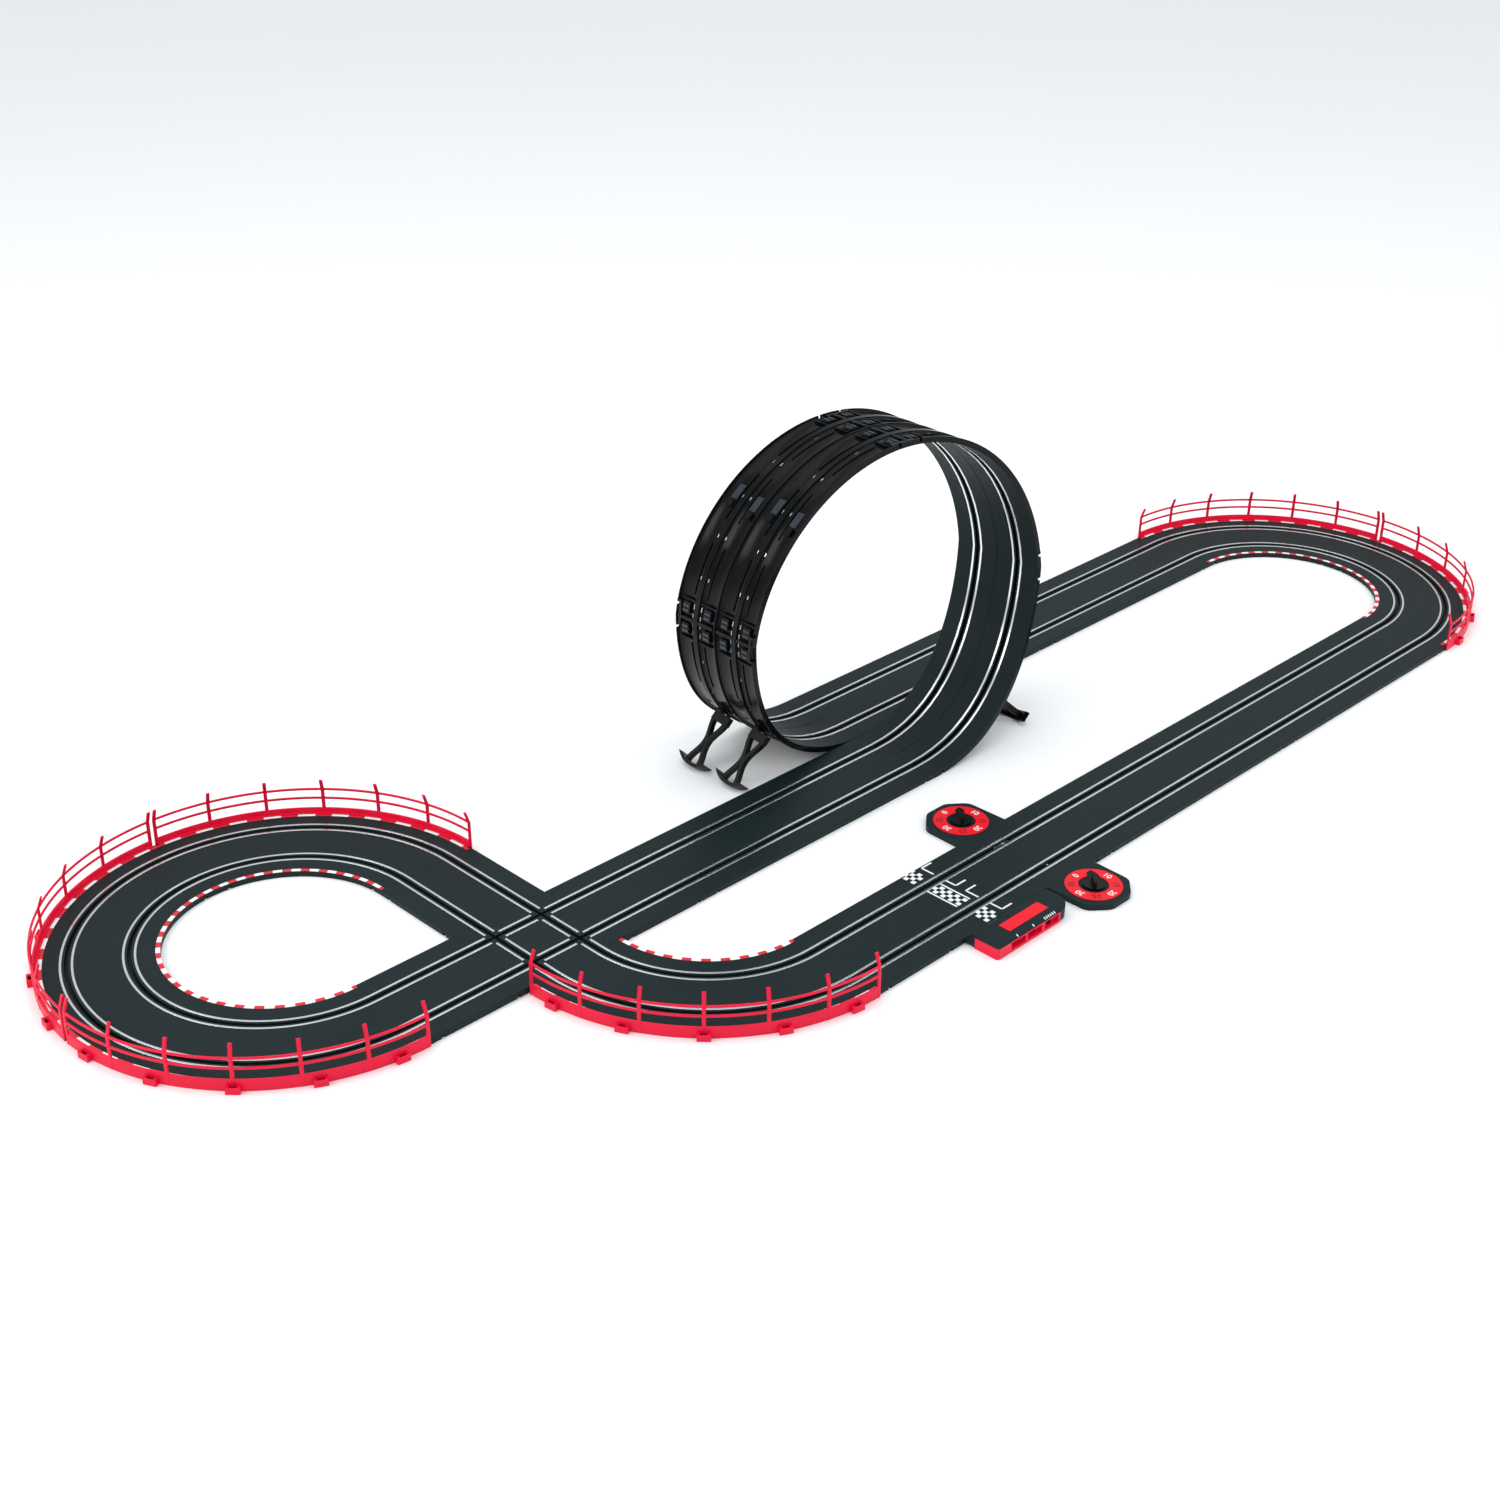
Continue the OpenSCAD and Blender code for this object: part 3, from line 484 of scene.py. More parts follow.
def fence_tree():
    """A fence round a quarter turn: foot band, lip over the deck, two rails, posts whose tips lean inwards,
    and clamp feet with their black clips, whose dead black is also painted shade in the feet's pockets."""
    tree, given = node_tree(
        "Crash fence", Int=("Posts", "Feet"), Material=("Material", "Clip and Shade Material"),
        Float=("Radius", "Thickness", "First Angle", "Last Angle", "First Foot", "Band Height",
               "Deck Height", "Lower Rail", "Upper Rail", "Rail Height", "Tip Height", "Lean",
               "Post Width"))
    half = add(tree, "ShaderNodeMath", {0: given["Thickness"], 1: 0.5}, operation="MULTIPLY")
    middle = add(tree, "ShaderNodeMath", {0: given["Radius"], 1: half}, operation="ADD")
    turn = add(tree, "ShaderNodeMath", {0: given["Last Angle"], 1: given["First Angle"]},
               operation="SUBTRACT")
    arc = add(tree, "GeometryNodeCurveArc", {
        "Resolution": 73, "Radius": middle, "Start Angle": given["First Angle"],
        "Sweep Angle": turn}, mode="RADIUS")
    spot = add(tree, "GeometryNodeInputPosition")
    inwards = add(tree, "ShaderNodeVectorMath", {0: spot, "Scale": -1.0}, operation="SCALE")
    ring = add(tree, "GeometryNodeSetCurveNormal", {"Curve": arc, "Normal": inwards}, mode="FREE")

    def carried(path, width, height, shift, rounding):
        bar = add(tree, "GeometryNodeCurvePrimitiveQuadrilateral", {"Width": width, "Height": height})
        soft = add(tree, "GeometryNodeFilletCurve", {
            "Curve": bar, "Radius": rounding, "Count": 3, "Limit Radius": True}, mode="POLY")
        set_off = add(tree, "GeometryNodeTransform", {"Geometry": soft, "Translation": shift})
        return add(tree, "GeometryNodeCurveToMesh", {
            "Curve": path, "Profile Curve": set_off, "Fill Caps": True})

    band_mid = add(tree, "ShaderNodeMath", {0: given["Band Height"], 1: 0.5}, operation="MULTIPLY")
    lip_in = add(tree, "ShaderNodeMath", {0: half, 1: 1.3}, operation="ADD")
    lip_up = add(tree, "ShaderNodeMath", {0: given["Deck Height"], 1: 0.5}, operation="ADD")
    bars = []
    for width, height, x, y, rounding in (
            (given["Thickness"], given["Band Height"], 0.0, band_mid, 0.5),
            (2.8, 0.9, lip_in, lip_up, 0.3),
            (given["Thickness"], given["Rail Height"], 0.0, given["Lower Rail"], 0.8),
            (given["Thickness"], given["Rail Height"], 0.0, given["Upper Rail"], 0.8)):
        shift = add(tree, "ShaderNodeCombineXYZ", {"X": x, "Y": y})
        bars.append(carried(ring, width, height, shift, rounding))

    # One post: an upright and its leaning tip, drawn with x outwards
    lean = add(tree, "ShaderNodeMath", {0: given["Lean"], 1: -1.0}, operation="MULTIPLY")
    tip = add(tree, "ShaderNodeCombineXYZ", {"X": lean, "Z": given["Tip Height"]})
    bend = add(tree, "ShaderNodeCombineXYZ", {"Z": given["Upper Rail"]})
    halves = []
    for low, high, end in (((0.25, 0, 0.4), bend, 1.0), (bend, tip, 0.6)):
        line = add(tree, "GeometryNodeCurvePrimitiveLine", {"Start": low, "End": high})
        upright = add(tree, "GeometryNodeSetCurveNormal", {"Curve": line, "Normal": (0, 1, 0)}, mode="FREE")
        share = add(tree, "GeometryNodeSplineParameter")
        width = add(tree, "ShaderNodeMapRange", {"Value": share, "To Min": 1.0, "To Max": end})
        taper = add(tree, "GeometryNodeSetCurveRadius", {"Curve": upright, "Radius": width})
        halves.append(carried(taper, given["Post Width"], given["Thickness"], (0, 0, 0), 0.7))
    post = together(tree, *halves)

    # One foot: a clamp block with a pocket, and the track's black clip in it, in a dead black that also
    # paints the pocket's shade
    block, pocket, clip = (
        add(tree, "GeometryNodeTransform", {
            "Geometry": add(tree, "GeometryNodeMeshCube", {"Size": size}), "Translation": at})
        for size, at in (((5.4, 13.0, 7.0), (2.3, 0, 3.5)), ((3.3, 7.2, 8.0), (2.2, 0, 6.0)),
                         ((3.1, 7.0, 3.0), (2.2, 0, 3.6))))
    cut = add(tree, "GeometryNodeMeshBoolean", {"Mesh 1": block, "Mesh 2": pocket}, operation="DIFFERENCE")
    red = add(tree, "GeometryNodeSetMaterial", {"Geometry": cut, "Material": given["Material"]})
    black = add(tree, "GeometryNodeSetMaterial", {"Geometry": clip, "Material": given["Clip and Shade Material"]})
    outer = add(tree, "ShaderNodeCombineXYZ", {"X": half})
    foot = add(tree, "GeometryNodeTransform", {
        "Geometry": together(tree, red, black), "Translation": outer})

    def repeated(shape, count, start, stop):
        index = add(tree, "GeometryNodeInputIndex")
        last = add(tree, "ShaderNodeMath", {0: count, 1: 1.0}, operation="SUBTRACT")
        angle = add(tree, "ShaderNodeMapRange", {
            "Value": index, "From Max": last, "To Min": start, "To Max": stop}, clamp=False)
        points = add(tree, "GeometryNodeMeshLine", {"Count": count, "Offset": (0, 0, 0)})
        ringed = add(tree, "GeometryNodeSetPosition", {
            "Geometry": points, "Position": on_arc(tree, middle, angle)})
        facing = add(tree, "ShaderNodeCombineXYZ", {"Z": angle})
        return add(tree, "GeometryNodeInstanceOnPoints", {
            "Points": ringed, "Instance": shape, "Rotation": facing})

    posts = repeated(post, given["Posts"], given["First Angle"], given["Last Angle"])
    mirrored = add(tree, "ShaderNodeMath", {0: math.pi / 2, 1: given["First Foot"]}, operation="SUBTRACT")
    feet = repeated(foot, given["Feet"], given["First Foot"], mirrored)
    # The feet keep their own two materials, so they join after the rest is painted
    painted = add(tree, "GeometryNodeSetMaterial", {
        "Geometry": together(tree, *bars, posts), "Material": given["Material"]})
    real = add(tree, "GeometryNodeRealizeInstances", {"Geometry": together(tree, painted, feet)})
    add(tree, "NodeGroupOutput", {"Geometry": real})
    return tree


def loop_section():
    """Outline of the loop's track in millimetres: running side above, and below
    it four hollow flutes between the walls and the channels of the two slots."""
    under, low, wall = DECK - LOOP_SKIN, 0.9, 0.4
    line = [(-HALF, 0.0), (-HALF, DECK - 0.6), (-HALF + 0.6, DECK)]
    marks = [(lane + shift, half, floor) for lane in LANES
             for shift, half, floor in ((-5.4, 1.2, DECK - 1), (0, 1.8, 1.4), (5.4, 1.2, DECK - 1))]
    marks.insert(3, (0.0, 0.5, DECK - 0.3))
    for x, half, floor in marks:
        line += [(x - half, DECK), (x - half, floor), (x + half, floor), (x + half, DECK)]
    line += [(HALF - 0.6, DECK), (HALF, DECK - 0.6), (HALF, 0.0), (HALF - 1.6, 0.0)]
    channel = LANES[1]
    for right, left, last in ((HALF - 1.6, channel + 3.2, channel - 3.2), (channel - 3.2, 0.8, -0.8),
                              (-0.8, -channel + 3.2, -channel - 3.2), (-channel - 3.2, -HALF + 1.6, None)):
        middle, reach = (right + left) / 2, (right - left) / 2
        for a in (math.radians(10 * k) for k in range(19)):
            line.append((middle + reach * math.cos(a), low + (under - low) * max(0.0, math.sin(a)) ** 0.7))
        line += [(left, wall), (last, wall)] if last is not None else [(left, 0.0)]
    return line


def loop_drift(angle):
    """Sideways shift of the loop's centre line, in millimetres, at an angle in degrees."""
    if angle > 180:
        return EXIT_Y - loop_drift(360 - angle)
    if angle < 90:
        share = max(0.0, angle - LOOP_DRIFT_FROM) / (90 - LOOP_DRIFT_FROM)
        return LOOP_FIRST_DRIFT * math.sin(share * math.pi / 2) ** 2
    return LOOP_FIRST_DRIFT + (EXIT_Y / 2 - LOOP_FIRST_DRIFT) * (angle - 90) / 90


def block_row(tree, size, first, material, cuts=2, count=1, step=(0, 0, 0), matrix=None):
    """A block, or a row of them, as a plain mesh drawn in millimetres."""
    return grown("row_part", tree, {"Size": size, "First": first, "Step": step, "Count": count,
                                    "Cuts": cuts, "Material": material}, matrix)


def on_loop(along, across, height, start):
    """Point of the rolled-up track: along it from the angle start, across it, above its foot."""
    angle = start + math.degrees(along / LOOP_R)
    radius = LOOP_R + DECK - height
    turn = math.radians(angle)
    return Vector((CROSSING.x + (LOOP_X + radius * math.sin(turn)) * MM,
                   CROSSING.y + (across + loop_drift(angle)) * MM,
                   (DECK + LOOP_R - radius * math.cos(turn)) * MM))


def rolled(piece, start):
    """Bends a flat piece drawn in millimetres round the loop, from the angle start."""
    for vertex in piece.data.vertices:
        vertex.co = on_loop(*vertex.co, start)
    shaded(piece.data)
    return piece


# ---------------------------------------------------------------- settings
class TrackSettings(bpy.types.PropertyGroup):
    edge: FloatProperty(name="Moulded edge", description="Rounding of the deck's corners",
                        default=0.5 * MM, min=0.0, unit="LENGTH")
    rail_edge: FloatProperty(name="Rail edge", description="Rounding of a rail's corners",
                             default=0.3 * MM, min=0.0, unit="LENGTH")


class PrintSettings(bpy.types.PropertyGroup):
    dashes: IntProperty(name="Kerb periods", description="Red and white pairs in a quarter turn",
                        default=10, min=2)
    inner_edge: FloatProperty(name="Inner kerb width", description="Width of the inner kerb's print",
                              default=4.5 * MM, unit="LENGTH")
    outer_from: FloatProperty(name="Outer kerb's near edge",
                              description="Radius where the outer kerb starts",
                              default=221.3 * MM, unit="LENGTH")
    outer_to: FloatProperty(name="Outer kerb's far edge",
                            description="Radius where the outer kerb ends",
                            default=225.1 * MM, unit="LENGTH")
    ink: FloatProperty(name="Ink thickness", description="Thickness of all printed marks",
                       default=0.06 * MM, unit="LENGTH")
    cell: FloatProperty(name="Chequer cell", description="Side of one square of the start line",
                        default=4.9 * MM, unit="LENGTH")
    line: FloatProperty(name="Line width", description="Width of the start line's stripes and marks",
                        default=2.0 * MM, unit="LENGTH")


class LoopSettings(bpy.types.PropertyGroup):
    notch: FloatProperty(name="Notch", description="Distance of the side walls' openings from a joint",
                         default=13.5 * MM, unit="LENGTH")
    tabs: IntProperty(name="Rail tabs", description="Bent tabs of each rail under a loop section",
                      default=5, min=1)
    pad: FloatProperty(name="Pad length", description="Length of the flat pads half way round a section",
                       default=17 * MM, unit="LENGTH")


class FenceSettings(bpy.types.PropertyGroup):
    posts: IntProperty(name="Posts", description="Posts of one fence", default=7, min=2)
    feet: IntProperty(name="Feet", description="Clamp feet of one fence", default=5, min=2)
    first: FloatProperty(name="First angle", description="Turn from a section's end to its fence",
                         default=math.radians(0.9), subtype="ANGLE")
    first_foot: FloatProperty(name="First foot", description="Turn from a section's end to a foot",
                              default=math.radians(8.1), subtype="ANGLE")
    thickness: FloatProperty(name="Thickness", description="Thickness of band, rails and posts",
                             default=2.0 * MM, unit="LENGTH")
    band: FloatProperty(name="Band height", description="Height of the solid foot band",
                        default=12.5 * MM, unit="LENGTH")
    rail: FloatProperty(name="Rail height", description="Height of a rail's own section",
                        default=2.6 * MM, unit="LENGTH")
    lower_rail: FloatProperty(name="Lower rail", description="Height of the lower rail over the table",
                              default=24 * MM, unit="LENGTH")
    upper_rail: FloatProperty(name="Upper rail", description="Height of the upper rail over the table",
                              default=34.5 * MM, unit="LENGTH")
    tip: FloatProperty(name="Tip height", description="Height of the posts' tips",
                       default=47.4 * MM, unit="LENGTH")
    lean: FloatProperty(name="Lean", description="How far the tips lean over the track",
                        default=4.6 * MM, unit="LENGTH")
    post_width: FloatProperty(name="Post width", description="Width of a post along the fence",
                              default=3.8 * MM, unit="LENGTH")


class CounterSettings(bpy.types.PropertyGroup):
    numbers: IntProperty(name="Numbers", description="Numbers printed round a dial", default=8, min=2)
    number_step: IntProperty(name="Number step", description="Laps from one number to the next",
                             default=5, min=1)
    number_radius: FloatProperty(name="Number radius",
                                 description="Distance of the numbers from the shaft",
                                 default=22.2 * MM, unit="LENGTH")
    number_size: FloatProperty(name="Number size", description="Size of a printed number",
                               default=9.5 * MM, unit="LENGTH")


class StageSettings(bpy.types.PropertyGroup):
    lens: FloatProperty(name="Lens", description="Focal length in millimetres on a 36 mm sensor",
                        default=51.96, unit="CAMERA")
    camera: FloatVectorProperty(name="Camera", description="Where the camera stands",
                                default=(-1.5923, -1.3750, 1.1682), subtype="TRANSLATION")
    aim: FloatVectorProperty(name="Aim", description="The direction it looks in",
                             default=(0.6217, 0.6138, -0.4865), subtype="DIRECTION")
    roll: FloatProperty(name="Roll", description="How far the camera leans over",
                        default=math.radians(0.67), subtype="ANGLE")
    sky: FloatProperty(name="Room light", description="Brightness of the white room", default=0.92, min=0.0)


# ---------------------------------------------------------------- operators
class TRACKSET_OT_sections(bpy.types.Operator):
    """Builds the straight, curved and crossing sections as matt mouldings"""
    bl_idname = "trackset.sections"
    bl_label = "Track sections"

    def execute(self, context):
        look = context.scene.track_look
        for node in STRAIGHTS + tuple(CURVES):
            from_cad(node + "_moulding", node, matt_abs_deck(), look.edge / MM, free=True)
        return {"FINISHED"}


class TRACKSET_OT_rails(bpy.types.Operator):
    """Builds the bright conductor rails"""
    bl_idname = "trackset.rails"
    bl_label = "Conductor rails"

    def execute(self, context):
        look = context.scene.track_look
        for node in RAILS:
            from_cad(node + "_strips", node, bright_steel_rail(),
                     look.rail_edge / MM if node != "loop_rails" else 0.0)
        return {"FINISHED"}


class TRACKSET_OT_kerbs(bpy.types.Operator):
    """Prints red and white kerbs on both edges of every curve"""
    bl_idname = "trackset.kerbs"
    bl_label = "Kerbs"

    def execute(self, context):
        look = context.scene.print_look
        tree = kerb_tree()
        inner = (CURVE_R - HALF)
        period = math.pi / 2 / look.dashes
        for node, (x, y, turn) in CURVES.items():
            parts = []
            for near, far in ((inner, inner + look.inner_edge / MM),
                              (look.outer_from / MM, look.outer_to / MM)):
                for ink, first, count in ((red_print(), 0.0, look.dashes + 1),
                                          (white_print(), period / 2, look.dashes)):
                    parts.append(grown(node + "_kerb_part", tree, {
                        "Inner Radius": near, "Outer Radius": far, "First Angle": first,
                        "Dash Angle": period / 2, "Period": period, "Count": count,
                        "Thickness": look.ink / MM, "Material": ink}, placed(x, y, DECK, turn)))
            settled(joined(node + "_kerbs", parts))
        return {"FINISHED"}


class TRACKSET_OT_start_print(bpy.types.Operator):
    """Prints the chequered line and the grid marks on the power section"""
    bl_idname = "trackset.start_print"
    bl_label = "Start line"

    def execute(self, context):
        look = context.scene.print_look
        ink, cell, line = look.ink / MM, look.cell / MM, look.line / MM
        tree, bars = chequer_tree(), row_tree()
        parts = []
        for y, columns, rows in ((START_Y + 46.5, 4, 4), (START_Y, 3, 8), (START_Y - 47.5, 4, 4)):
            parts.append(grown("chequer_part", tree, {
                "Columns": columns, "Rows": rows, "Cell": cell, "Thickness": ink,
                "Material": white_print()}, placed(START_X, y, DECK + ink / 2)))
        # Plain stripes before and after the line, then four corner marks for the grid
        bands = [((line, 8 * cell, ink), START_X + side * 2 * cell, START_Y) for side in (-1, 1)]
        for low, high in ((35, 51), (6, 19.4), (-23, -7), (-53, -37.5)):
            bands.append(((line, high - low, ink), MARK_X, START_Y + (low + high) / 2))
        for y in (51, 6, -7, -53):
            bands.append(((14.5, line, ink), MARK_X + 7.7, START_Y + y))
        for size, x, y in bands:
            parts.append(block_row(bars, size, (0, 0, 0), white_print(),
                                   matrix=placed(x, y, DECK + ink / 2)))
        settled(joined("start_line_print", parts))
        return {"FINISHED"}


class TRACKSET_OT_loop(bpy.types.Operator):
    """Builds the four quarters of the loop with the moulded detail of their underside"""
    bl_idname = "trackset.loop"
    bl_label = "Loop"

    def execute(self, context):
        look = context.scene.loop_look
        outline = loop_section()
        edges = [(i, (i + 1) % len(outline)) for i in range(len(outline))]
        mesh = bpy.data.meshes.new("loop_outline")
        mesh.from_pydata([(x, y, 0) for x, y in outline], edges, [])
        section = new_object("loop_outline", mesh)
        sweep, row = sweep_tree(), row_tree()
        for quarter, node in enumerate(LOOP_QUARTERS):
            start = 90 * quarter
            shell = grown(node + "_moulding", sweep, {"Section": section, "Material": matt_abs_deck()},
                          placed(LOOP_X, 0), self.path(start))
            self.notch(shell, row, look.notch / MM, start)
            self.paint(shell.data)
            settled(shell, (node,))
            detail = [block_row(row, *spec) for spec in self.underside(look)]
            settled(rolled(joined(node + "_underside", detail), start))
        bpy.data.objects.remove(section)
        return {"FINISHED"}

    def path(self, start, steps=45):
        """A quarter turn at the side walls' feet, with the section's side and its drift."""
        angles = [start + 90 * k / steps for k in range(steps + 1)]
        path = bpy.data.meshes.new("loop_path")
        path.from_pydata([(LOOP_R_FOOT * math.sin(math.radians(a)), 0,
                           LOOP_R_FOOT * (1 - math.cos(math.radians(a)))) for a in angles],
                         [(k, k + 1) for k in range(steps)], [])
        path.attributes.new("side", "FLOAT_VECTOR", "POINT")
        path.attributes.new("drift", "FLOAT", "POINT")
        for k, a in enumerate(angles):
            path.attributes["side"].data[k].vector = (0, 1, 0)
            path.attributes["drift"].data[k].value = loop_drift(a)
        return path

    def notch(self, shell, row, reach, start):
        """Cuts the openings in the side walls beside each joint."""
        cuts = [block_row(row, (3.2, 5.0, 5.4), (along, side * (HALF - 1), 1.2), painted_shade_black(), 3)
                for along in (reach, QUARTER - reach) for side in (-1, 1)]
        cutter = rolled(joined("notch_cutter", cuts), start)
        notch = shell.modifiers.new("Notches", "BOOLEAN")
        notch.operation, notch.object, notch.solver = "DIFFERENCE", cutter, "EXACT"
        graph = bpy.context.evaluated_depsgraph_get()
        cut_mesh = bpy.data.meshes.new_from_object(shell.evaluated_get(graph), depsgraph=graph)
        shell.modifiers.clear()
        shell.data = shaded(cut_mesh)
        bpy.data.objects.remove(cutter)

    def paint(self, mesh):
        """The underside is polished and the running side matt; slot walls below a depth get the underside's
        near-black colour, which is painted shade.
        """
        while len(mesh.materials) > 1:
            mesh.materials.pop()
        mesh.materials.append(polished_abs_underside())
        centre = Vector((CROSSING.x + LOOP_X * MM, 0, (DECK + LOOP_R) * MM))
        for face in mesh.polygons:
            out = Vector((face.center.x - centre.x, 0, face.center.z - centre.z))
            # Faces deeper than the slot shade depth, not facing the loop's centre, turn near black; inside
            # the slots this is painted shade
            deep = out.length / MM > LOOP_R + SLOT_SHADE_DEPTH
            face.material_index = 1 if deep and face.normal.dot(out.normalized()) > -0.6 else 0

    def underside(self, look):
        """Blocks of one section's underside, drawn flat, as block_row takes them."""
        skin, length = DECK - LOOP_SKIN, QUARTER
        rows = []
        for lane in LANES:
            for side in (-1, 1):
                rib, tab, pad = lane + side * 9.4, lane + side * 5.0, lane + side * 15.6
                middle = length * 0.5 - side * 3    # the pads sit a little off half way
                rows += [
                    # Long ribs, the rails' bent tabs, a flat pad with a painted sheen and, beside it, a deep
                    # black block of painted shade where the moulding has a hollow
                    ((length * 0.2, 0.9, 1.5), (length * 0.2, rib, skin - 0.7),
                     polished_abs_underside(), 8, 3, (length * 0.3, 0, 0)),
                    ((3.6, 1.8, 1.6), (length * 0.17, tab, skin - 0.8), bright_steel_rail(), 2,
                     look.tabs, (length * 0.165, 0, 0)),
                    ((look.pad / MM, 8.5, 1.0), (middle, pad, skin - 0.3), painted_sheen_pad(), 4),
                    # Painted shade: a solid block in dead black stands in for the hollow beside the pad
                    ((8.0, 8.0, 2.6), (middle + 14, pad, skin - 1.3), painted_shade_black()),
                ]
                for end, into in ((0.0, 1), (length, -1)):
                    rows += [
                        # At each joint: a clip box with two bars on it in the pads' painted-sheen colour, a
                        # cross rib and two tabs
                        ((12.0, 10.0, 2.6), (end + into * 12, pad, skin - 1.3), half_gloss_abs(), 3),
                        ((2.6, 8.4, 1.0), (end + into * 9, pad, skin - 3.0), painted_sheen_pad(), 2, 2,
                         (into * 5.4, 0, 0)),
                        ((1.2, 19.0, 3.0), (end + into * 22.5, lane + side * 14, skin - 1.5),
                         polished_abs_underside()),
                        ((5.5, 1.8, 1.4), (end + into * 4.4, tab, skin - 0.8), bright_steel_rail(), 2,
                         2, (into * 11, 0, 0)),
                    ]
        for end, into in ((0.0, 1), (length, -1)):
            for across in (-43.5, -14, 14, 43.5):   # the section's end wall, open at the channels
                rows.append(((1.4, 22.0, 3.6), (end + into * 0.9, across, skin - 1.8), half_gloss_abs()))
        return rows


class TRACKSET_OT_supports(bpy.types.Operator):
    """Builds the four struts that carry the loop"""
    bl_idname = "trackset.supports"
    bl_label = "Loop supports"

    def execute(self, context):
        for i in range(1, 5):
            from_cad(f"loop_support_{i}_strut", f"loop_support_{i}", half_gloss_abs(), 0.6)
        return {"FINISHED"}


class TRACKSET_OT_fences(bpy.types.Operator):
    """Builds the red crash fences round the curves"""
    bl_idname = "trackset.fences"
    bl_label = "Crash fences"

    def execute(self, context):
        look = context.scene.fence_look
        tree = fence_tree()
        for node, (x, y, turn) in CURVES.items():
            node = node.replace("curve", "fence")
            piece = grown(node + "_moulding", tree, {
                "Radius": CURVE_R + HALF + 0.1, "Thickness": look.thickness / MM,
                "First Angle": look.first, "Last Angle": math.pi / 2 - look.first,
                "Band Height": look.band / MM, "Deck Height": DECK, "Rail Height": look.rail / MM,
                "Lower Rail": look.lower_rail / MM, "Upper Rail": look.upper_rail / MM,
                "Tip Height": look.tip / MM, "Lean": look.lean / MM,
                "Post Width": look.post_width / MM, "Posts": look.posts,
                "First Foot": look.first_foot, "Feet": look.feet, "Material": red_fence_plastic(),
                # The clips are real black parts, and their dead black also paints the shade in the feet's
                # pockets
                "Clip and Shade Material": painted_shade_black()}, placed(x, y, 0, turn))
            settled(piece, (node,))
        return {"FINISHED"}


class TRACKSET_OT_power_base(bpy.types.Operator):
    """Builds the power base with its lid, socket block and contacts"""
    bl_idname = "trackset.power_base"
    bl_label = "Power base"

    def execute(self, context):
        from_cad("base_lid", "base_cover", matt_abs_deck(), 0.8)
        from_cad("base_sockets", "socket_block", red_socket_plastic(), 0.4)
        from_cad("base_badge", "base_label", red_card(), 0.1)
        from_cad("base_tray", "base_floor", half_gloss_abs(), 0.2)
        from_cad("base_board", "circuit_board", green_solder_mask(), 0.1)
        from_cad("base_pins", "socket_pins", contact_brass())
        self.marks(context.scene.print_look.ink / MM)
        from_cad("base_jack", "power_jack", half_gloss_abs(), 0.2)
        from_cad("rail_feed_blades", "feed_contacts", contact_brass())
        return {"FINISHED"}

    def marks(self, ink):
        """Prints ticks on the lid's slope, over the two sockets and the jack."""
        low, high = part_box("base_cover")
        middle_x = ((low + high) / 2 - CROSSING).x / MM
        edge_y = (low - CROSSING).y / MM + 2.6
        slope, bars = Matrix.Rotation(math.radians(25.6), 4, "X"), row_tree()
        ticks = [block_row(bars, (1.4, 2.8, ink), (0, 0, 0), white_print(), 2, count, (3.0, 0, 0),
                           placed(middle_x + x, edge_y, high.z / MM - 1.12) @ slope)
                 for x, count in ((-26, 1), (-1.5, 1), (16, 6))]
        settled(joined("socket_marks", ticks))


def numeral(text, size, matrix, material):
    """One printed number as a thin plain mesh."""
    curve = bpy.data.curves.new("numeral", "FONT")
    curve.body, curve.size, curve.align_x, curve.align_y = text, size, "CENTER", "CENTER"
    curve.extrude = 0.03
    curve.offset = 0.12
    curve.resolution_u = 3
    holder = new_object("numeral", curve)
    graph = bpy.context.evaluated_depsgraph_get()
    mesh = bpy.data.meshes.new_from_object(holder.evaluated_get(graph), depsgraph=graph)
    bpy.data.objects.remove(holder)
    mesh.transform(matrix)
    mesh.materials.clear()
    mesh.materials.append(material)
    return new_object("numeral", mesh)


class TRACKSET_OT_lap_counter(bpy.types.Operator):
    """Builds the two dials of the lap counter and the mechanism below them"""
    bl_idname = "trackset.lap_counter"
    bl_label = "Lap counter"

    def execute(self, context):
        look = context.scene.counter_look
        for side in ("back", "front"):
            from_cad(f"ring_{side}", f"number_ring_{side}", red_card(), 0.15)
            low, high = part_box(f"number_ring_{side}")
            centre = ((low + high) / 2 - CROSSING) / MM
            numbers = []
            for k in range(look.numbers):
                turn = 90 - 360 * k / look.numbers
                spot = (placed(centre.x, centre.y, high.z / MM + 0.03, turn - 90)
                        @ Matrix.Translation((0, look.number_radius / MM, 0)))
                numbers.append(numeral(str(look.number_step * k), look.number_size / MM, spot,
                                       dark_print() if k % 2 else white_print()))
            settled(joined(f"ring_numbers_{side}", numbers))
            from_cad(f"dial_pointer_{side}", f"pointer_{side}", half_gloss_abs(), 0.35,
                     body=f"dial_{side}")
            from_cad(f"ratchet_wheel_{side}", f"ratchet_{side}", natural_acetal(), 0.15,
                     body=f"dial_{side}")
            from_cad(f"lap_lever_{side}", f"trip_lever_{side}", natural_acetal(), 0.15,
                     body=f"lever_{side}")
        from_cad("lever_return_springs", "lever_springs", zinc_steel())
        from_cad("counter_bottom_covers", "counter_covers", half_gloss_abs(), 0.2)
        return {"FINISHED"}


class TRACKSET_OT_fasteners(bpy.types.Operator):
    """Builds the joint clips and the screws"""
    bl_idname = "trackset.fasteners"
    bl_label = "Clips and screws"

    def execute(self, context):
        from_cad("section_clips", "joint_clips", half_gloss_abs(), 0.2)
        from_cad("tray_screws", "screws", zinc_steel())
        return {"FINISHED"}


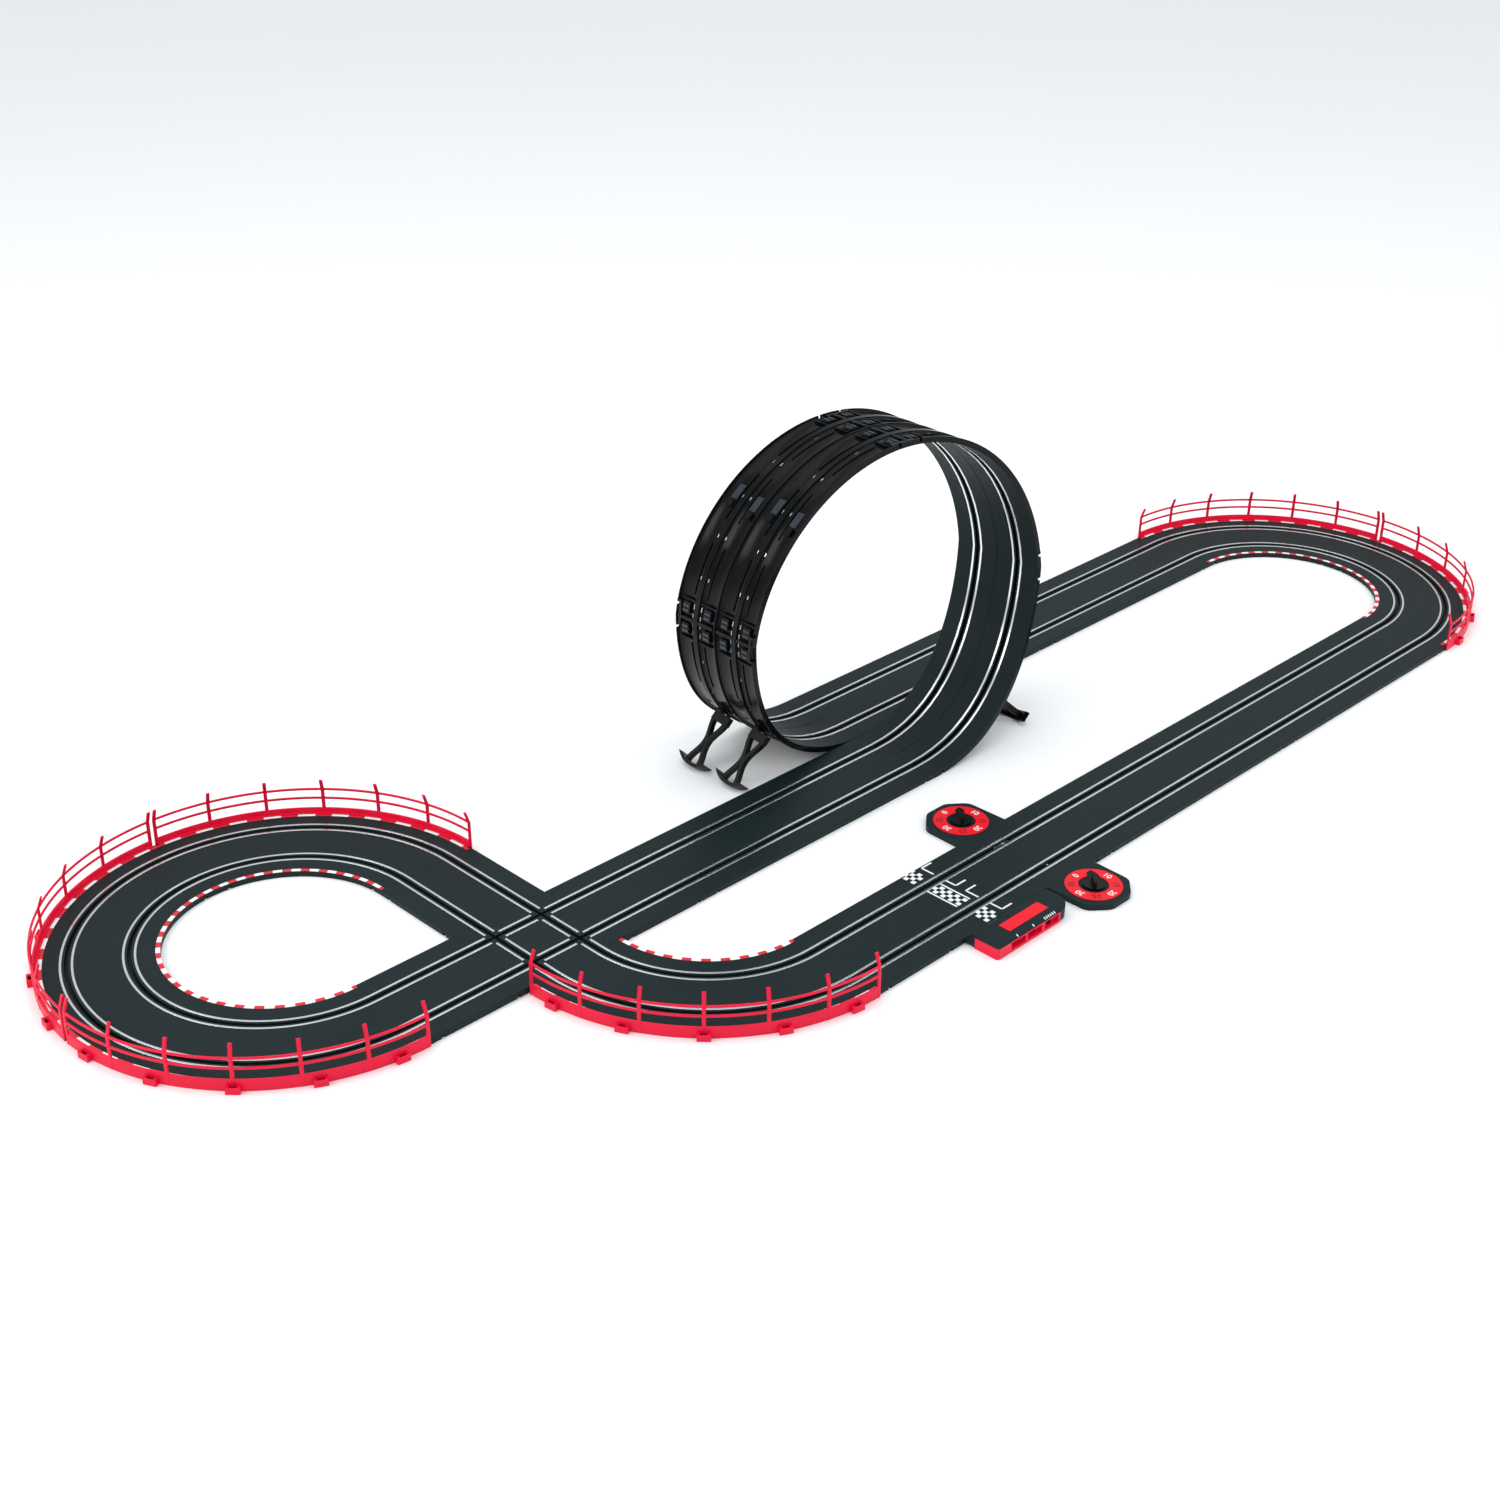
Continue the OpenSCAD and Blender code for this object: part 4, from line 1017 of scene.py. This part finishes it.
class TRACKSET_OT_stage(bpy.types.Operator):
    """Makes the white floor, the studio lights and the camera"""
    bl_idname = "trackset.stage"
    bl_label = "Stage"

    def execute(self, context):
        scene, look = context.scene, context.scene.stage_look
        mesh = bpy.data.meshes.new("studio_floor")
        reach = 30.0
        mesh.from_pydata([(-reach, -reach, 0), (reach, -reach, 0), (reach, reach, 0), (-reach, reach, 0)], [],
                         [(0, 1, 2, 3)])
        mesh.materials.append(studio_paper())
        floor = new_object("studio_floor", mesh)
        world = bpy.data.worlds.new("studio_room")
        world.use_nodes = True
        back = world.node_tree.nodes["Background"]
        back.inputs["Color"].default_value = linear("#f4f7fa")
        # The room lights the set evenly but looks darker in gloss, as with flags round the table
        seen = add(world.node_tree, "ShaderNodeLightPath")
        power = add(world.node_tree, "ShaderNodeMapRange", {"Value": seen.outputs["Is Glossy Ray"],
                                                            "To Min": look.sky, "To Max": look.sky * 0.7})
        world.node_tree.links.new(power.outputs[0], back.inputs["Strength"])
        scene.world = world
        scene.view_settings.view_transform = "Standard"
        for name, place, aim, size, power in (
                ("top_softbox", (0.1, 0.1, 2.6), (0.0, 0.0, 0.0), (3.6, 2.6), 26),
                ("side_softbox", (-2.6, 1.0, 1.8), (0.0, 0.0, 0.1), (1.8, 1.2), 26),
                ("front_softbox", (1.8, -2.4, 1.6), (0.1, 0.0, 0.1), (1.8, 1.2), 14)):
            lamp = bpy.data.lights.new(name, "AREA")
            lamp.shape = "RECTANGLE"
            lamp.size, lamp.size_y = size
            lamp.energy = power
            light = bpy.data.objects.new(name, lamp)
            scene.collection.objects.link(light)
            light.location = place
            light.rotation_euler = (Vector(aim) - Vector(place)).to_track_quat("-Z", "Y").to_euler()
        forward = Vector(look.aim).normalized()
        right = forward.cross(Vector((0, 0, 1))).normalized()
        up = right.cross(forward)
        lean_right = right * math.cos(look.roll) + up * math.sin(look.roll)
        lean_up = up * math.cos(look.roll) - right * math.sin(look.roll)
        data = bpy.data.cameras.new("main_camera")
        data.lens, data.sensor_width = look.lens, 36.0
        data.clip_end = 100.0
        camera = bpy.data.objects.new("main_camera", data)
        scene.collection.objects.link(camera)
        camera.matrix_world = Matrix.Translation(look.camera) @ Matrix(
            (lean_right, lean_up, -forward)).transposed().to_4x4()
        scene.camera = camera
        return {"FINISHED"}


class TRACKSET_PT_panel(bpy.types.Panel):
    """Lists the set's pieces, each a button that builds it"""
    bl_idname = "TRACKSET_PT_panel"
    bl_label = "Track set"
    bl_space_type = "VIEW_3D"
    bl_region_type = "UI"
    bl_category = "Track set"

    def draw(self, context):
        for group in SETTINGS:
            box = self.layout.box()
            settings = getattr(context.scene, group)
            for name in settings.__annotations__:
                box.prop(settings, name)
        for operator in OPERATORS:
            self.layout.operator(operator.bl_idname)


SETTINGS = {"track_look": TrackSettings, "print_look": PrintSettings, "loop_look": LoopSettings,
            "fence_look": FenceSettings, "counter_look": CounterSettings, "stage_look": StageSettings}
OPERATORS = (TRACKSET_OT_sections, TRACKSET_OT_rails, TRACKSET_OT_kerbs, TRACKSET_OT_start_print,
             TRACKSET_OT_loop, TRACKSET_OT_supports, TRACKSET_OT_fences, TRACKSET_OT_power_base,
             TRACKSET_OT_lap_counter, TRACKSET_OT_fasteners, TRACKSET_OT_stage)


def register():
    for group in SETTINGS.values():
        bpy.utils.register_class(group)
    for operator in OPERATORS:
        bpy.utils.register_class(operator)
    bpy.utils.register_class(TRACKSET_PT_panel)
    for name, group in SETTINGS.items():
        setattr(bpy.types.Scene, name, PointerProperty(type=group))


def unregister():
    for name in SETTINGS:
        delattr(bpy.types.Scene, name)
    bpy.utils.unregister_class(TRACKSET_PT_panel)
    for operator in reversed(OPERATORS):
        bpy.utils.unregister_class(operator)
    for group in reversed(list(SETTINGS.values())):
        bpy.utils.unregister_class(group)


def main():
    register()
    for operator in OPERATORS:
        family, name = operator.bl_idname.split(".")
        getattr(getattr(bpy.ops, family), name)()


if __name__ == "__main__":
    main()
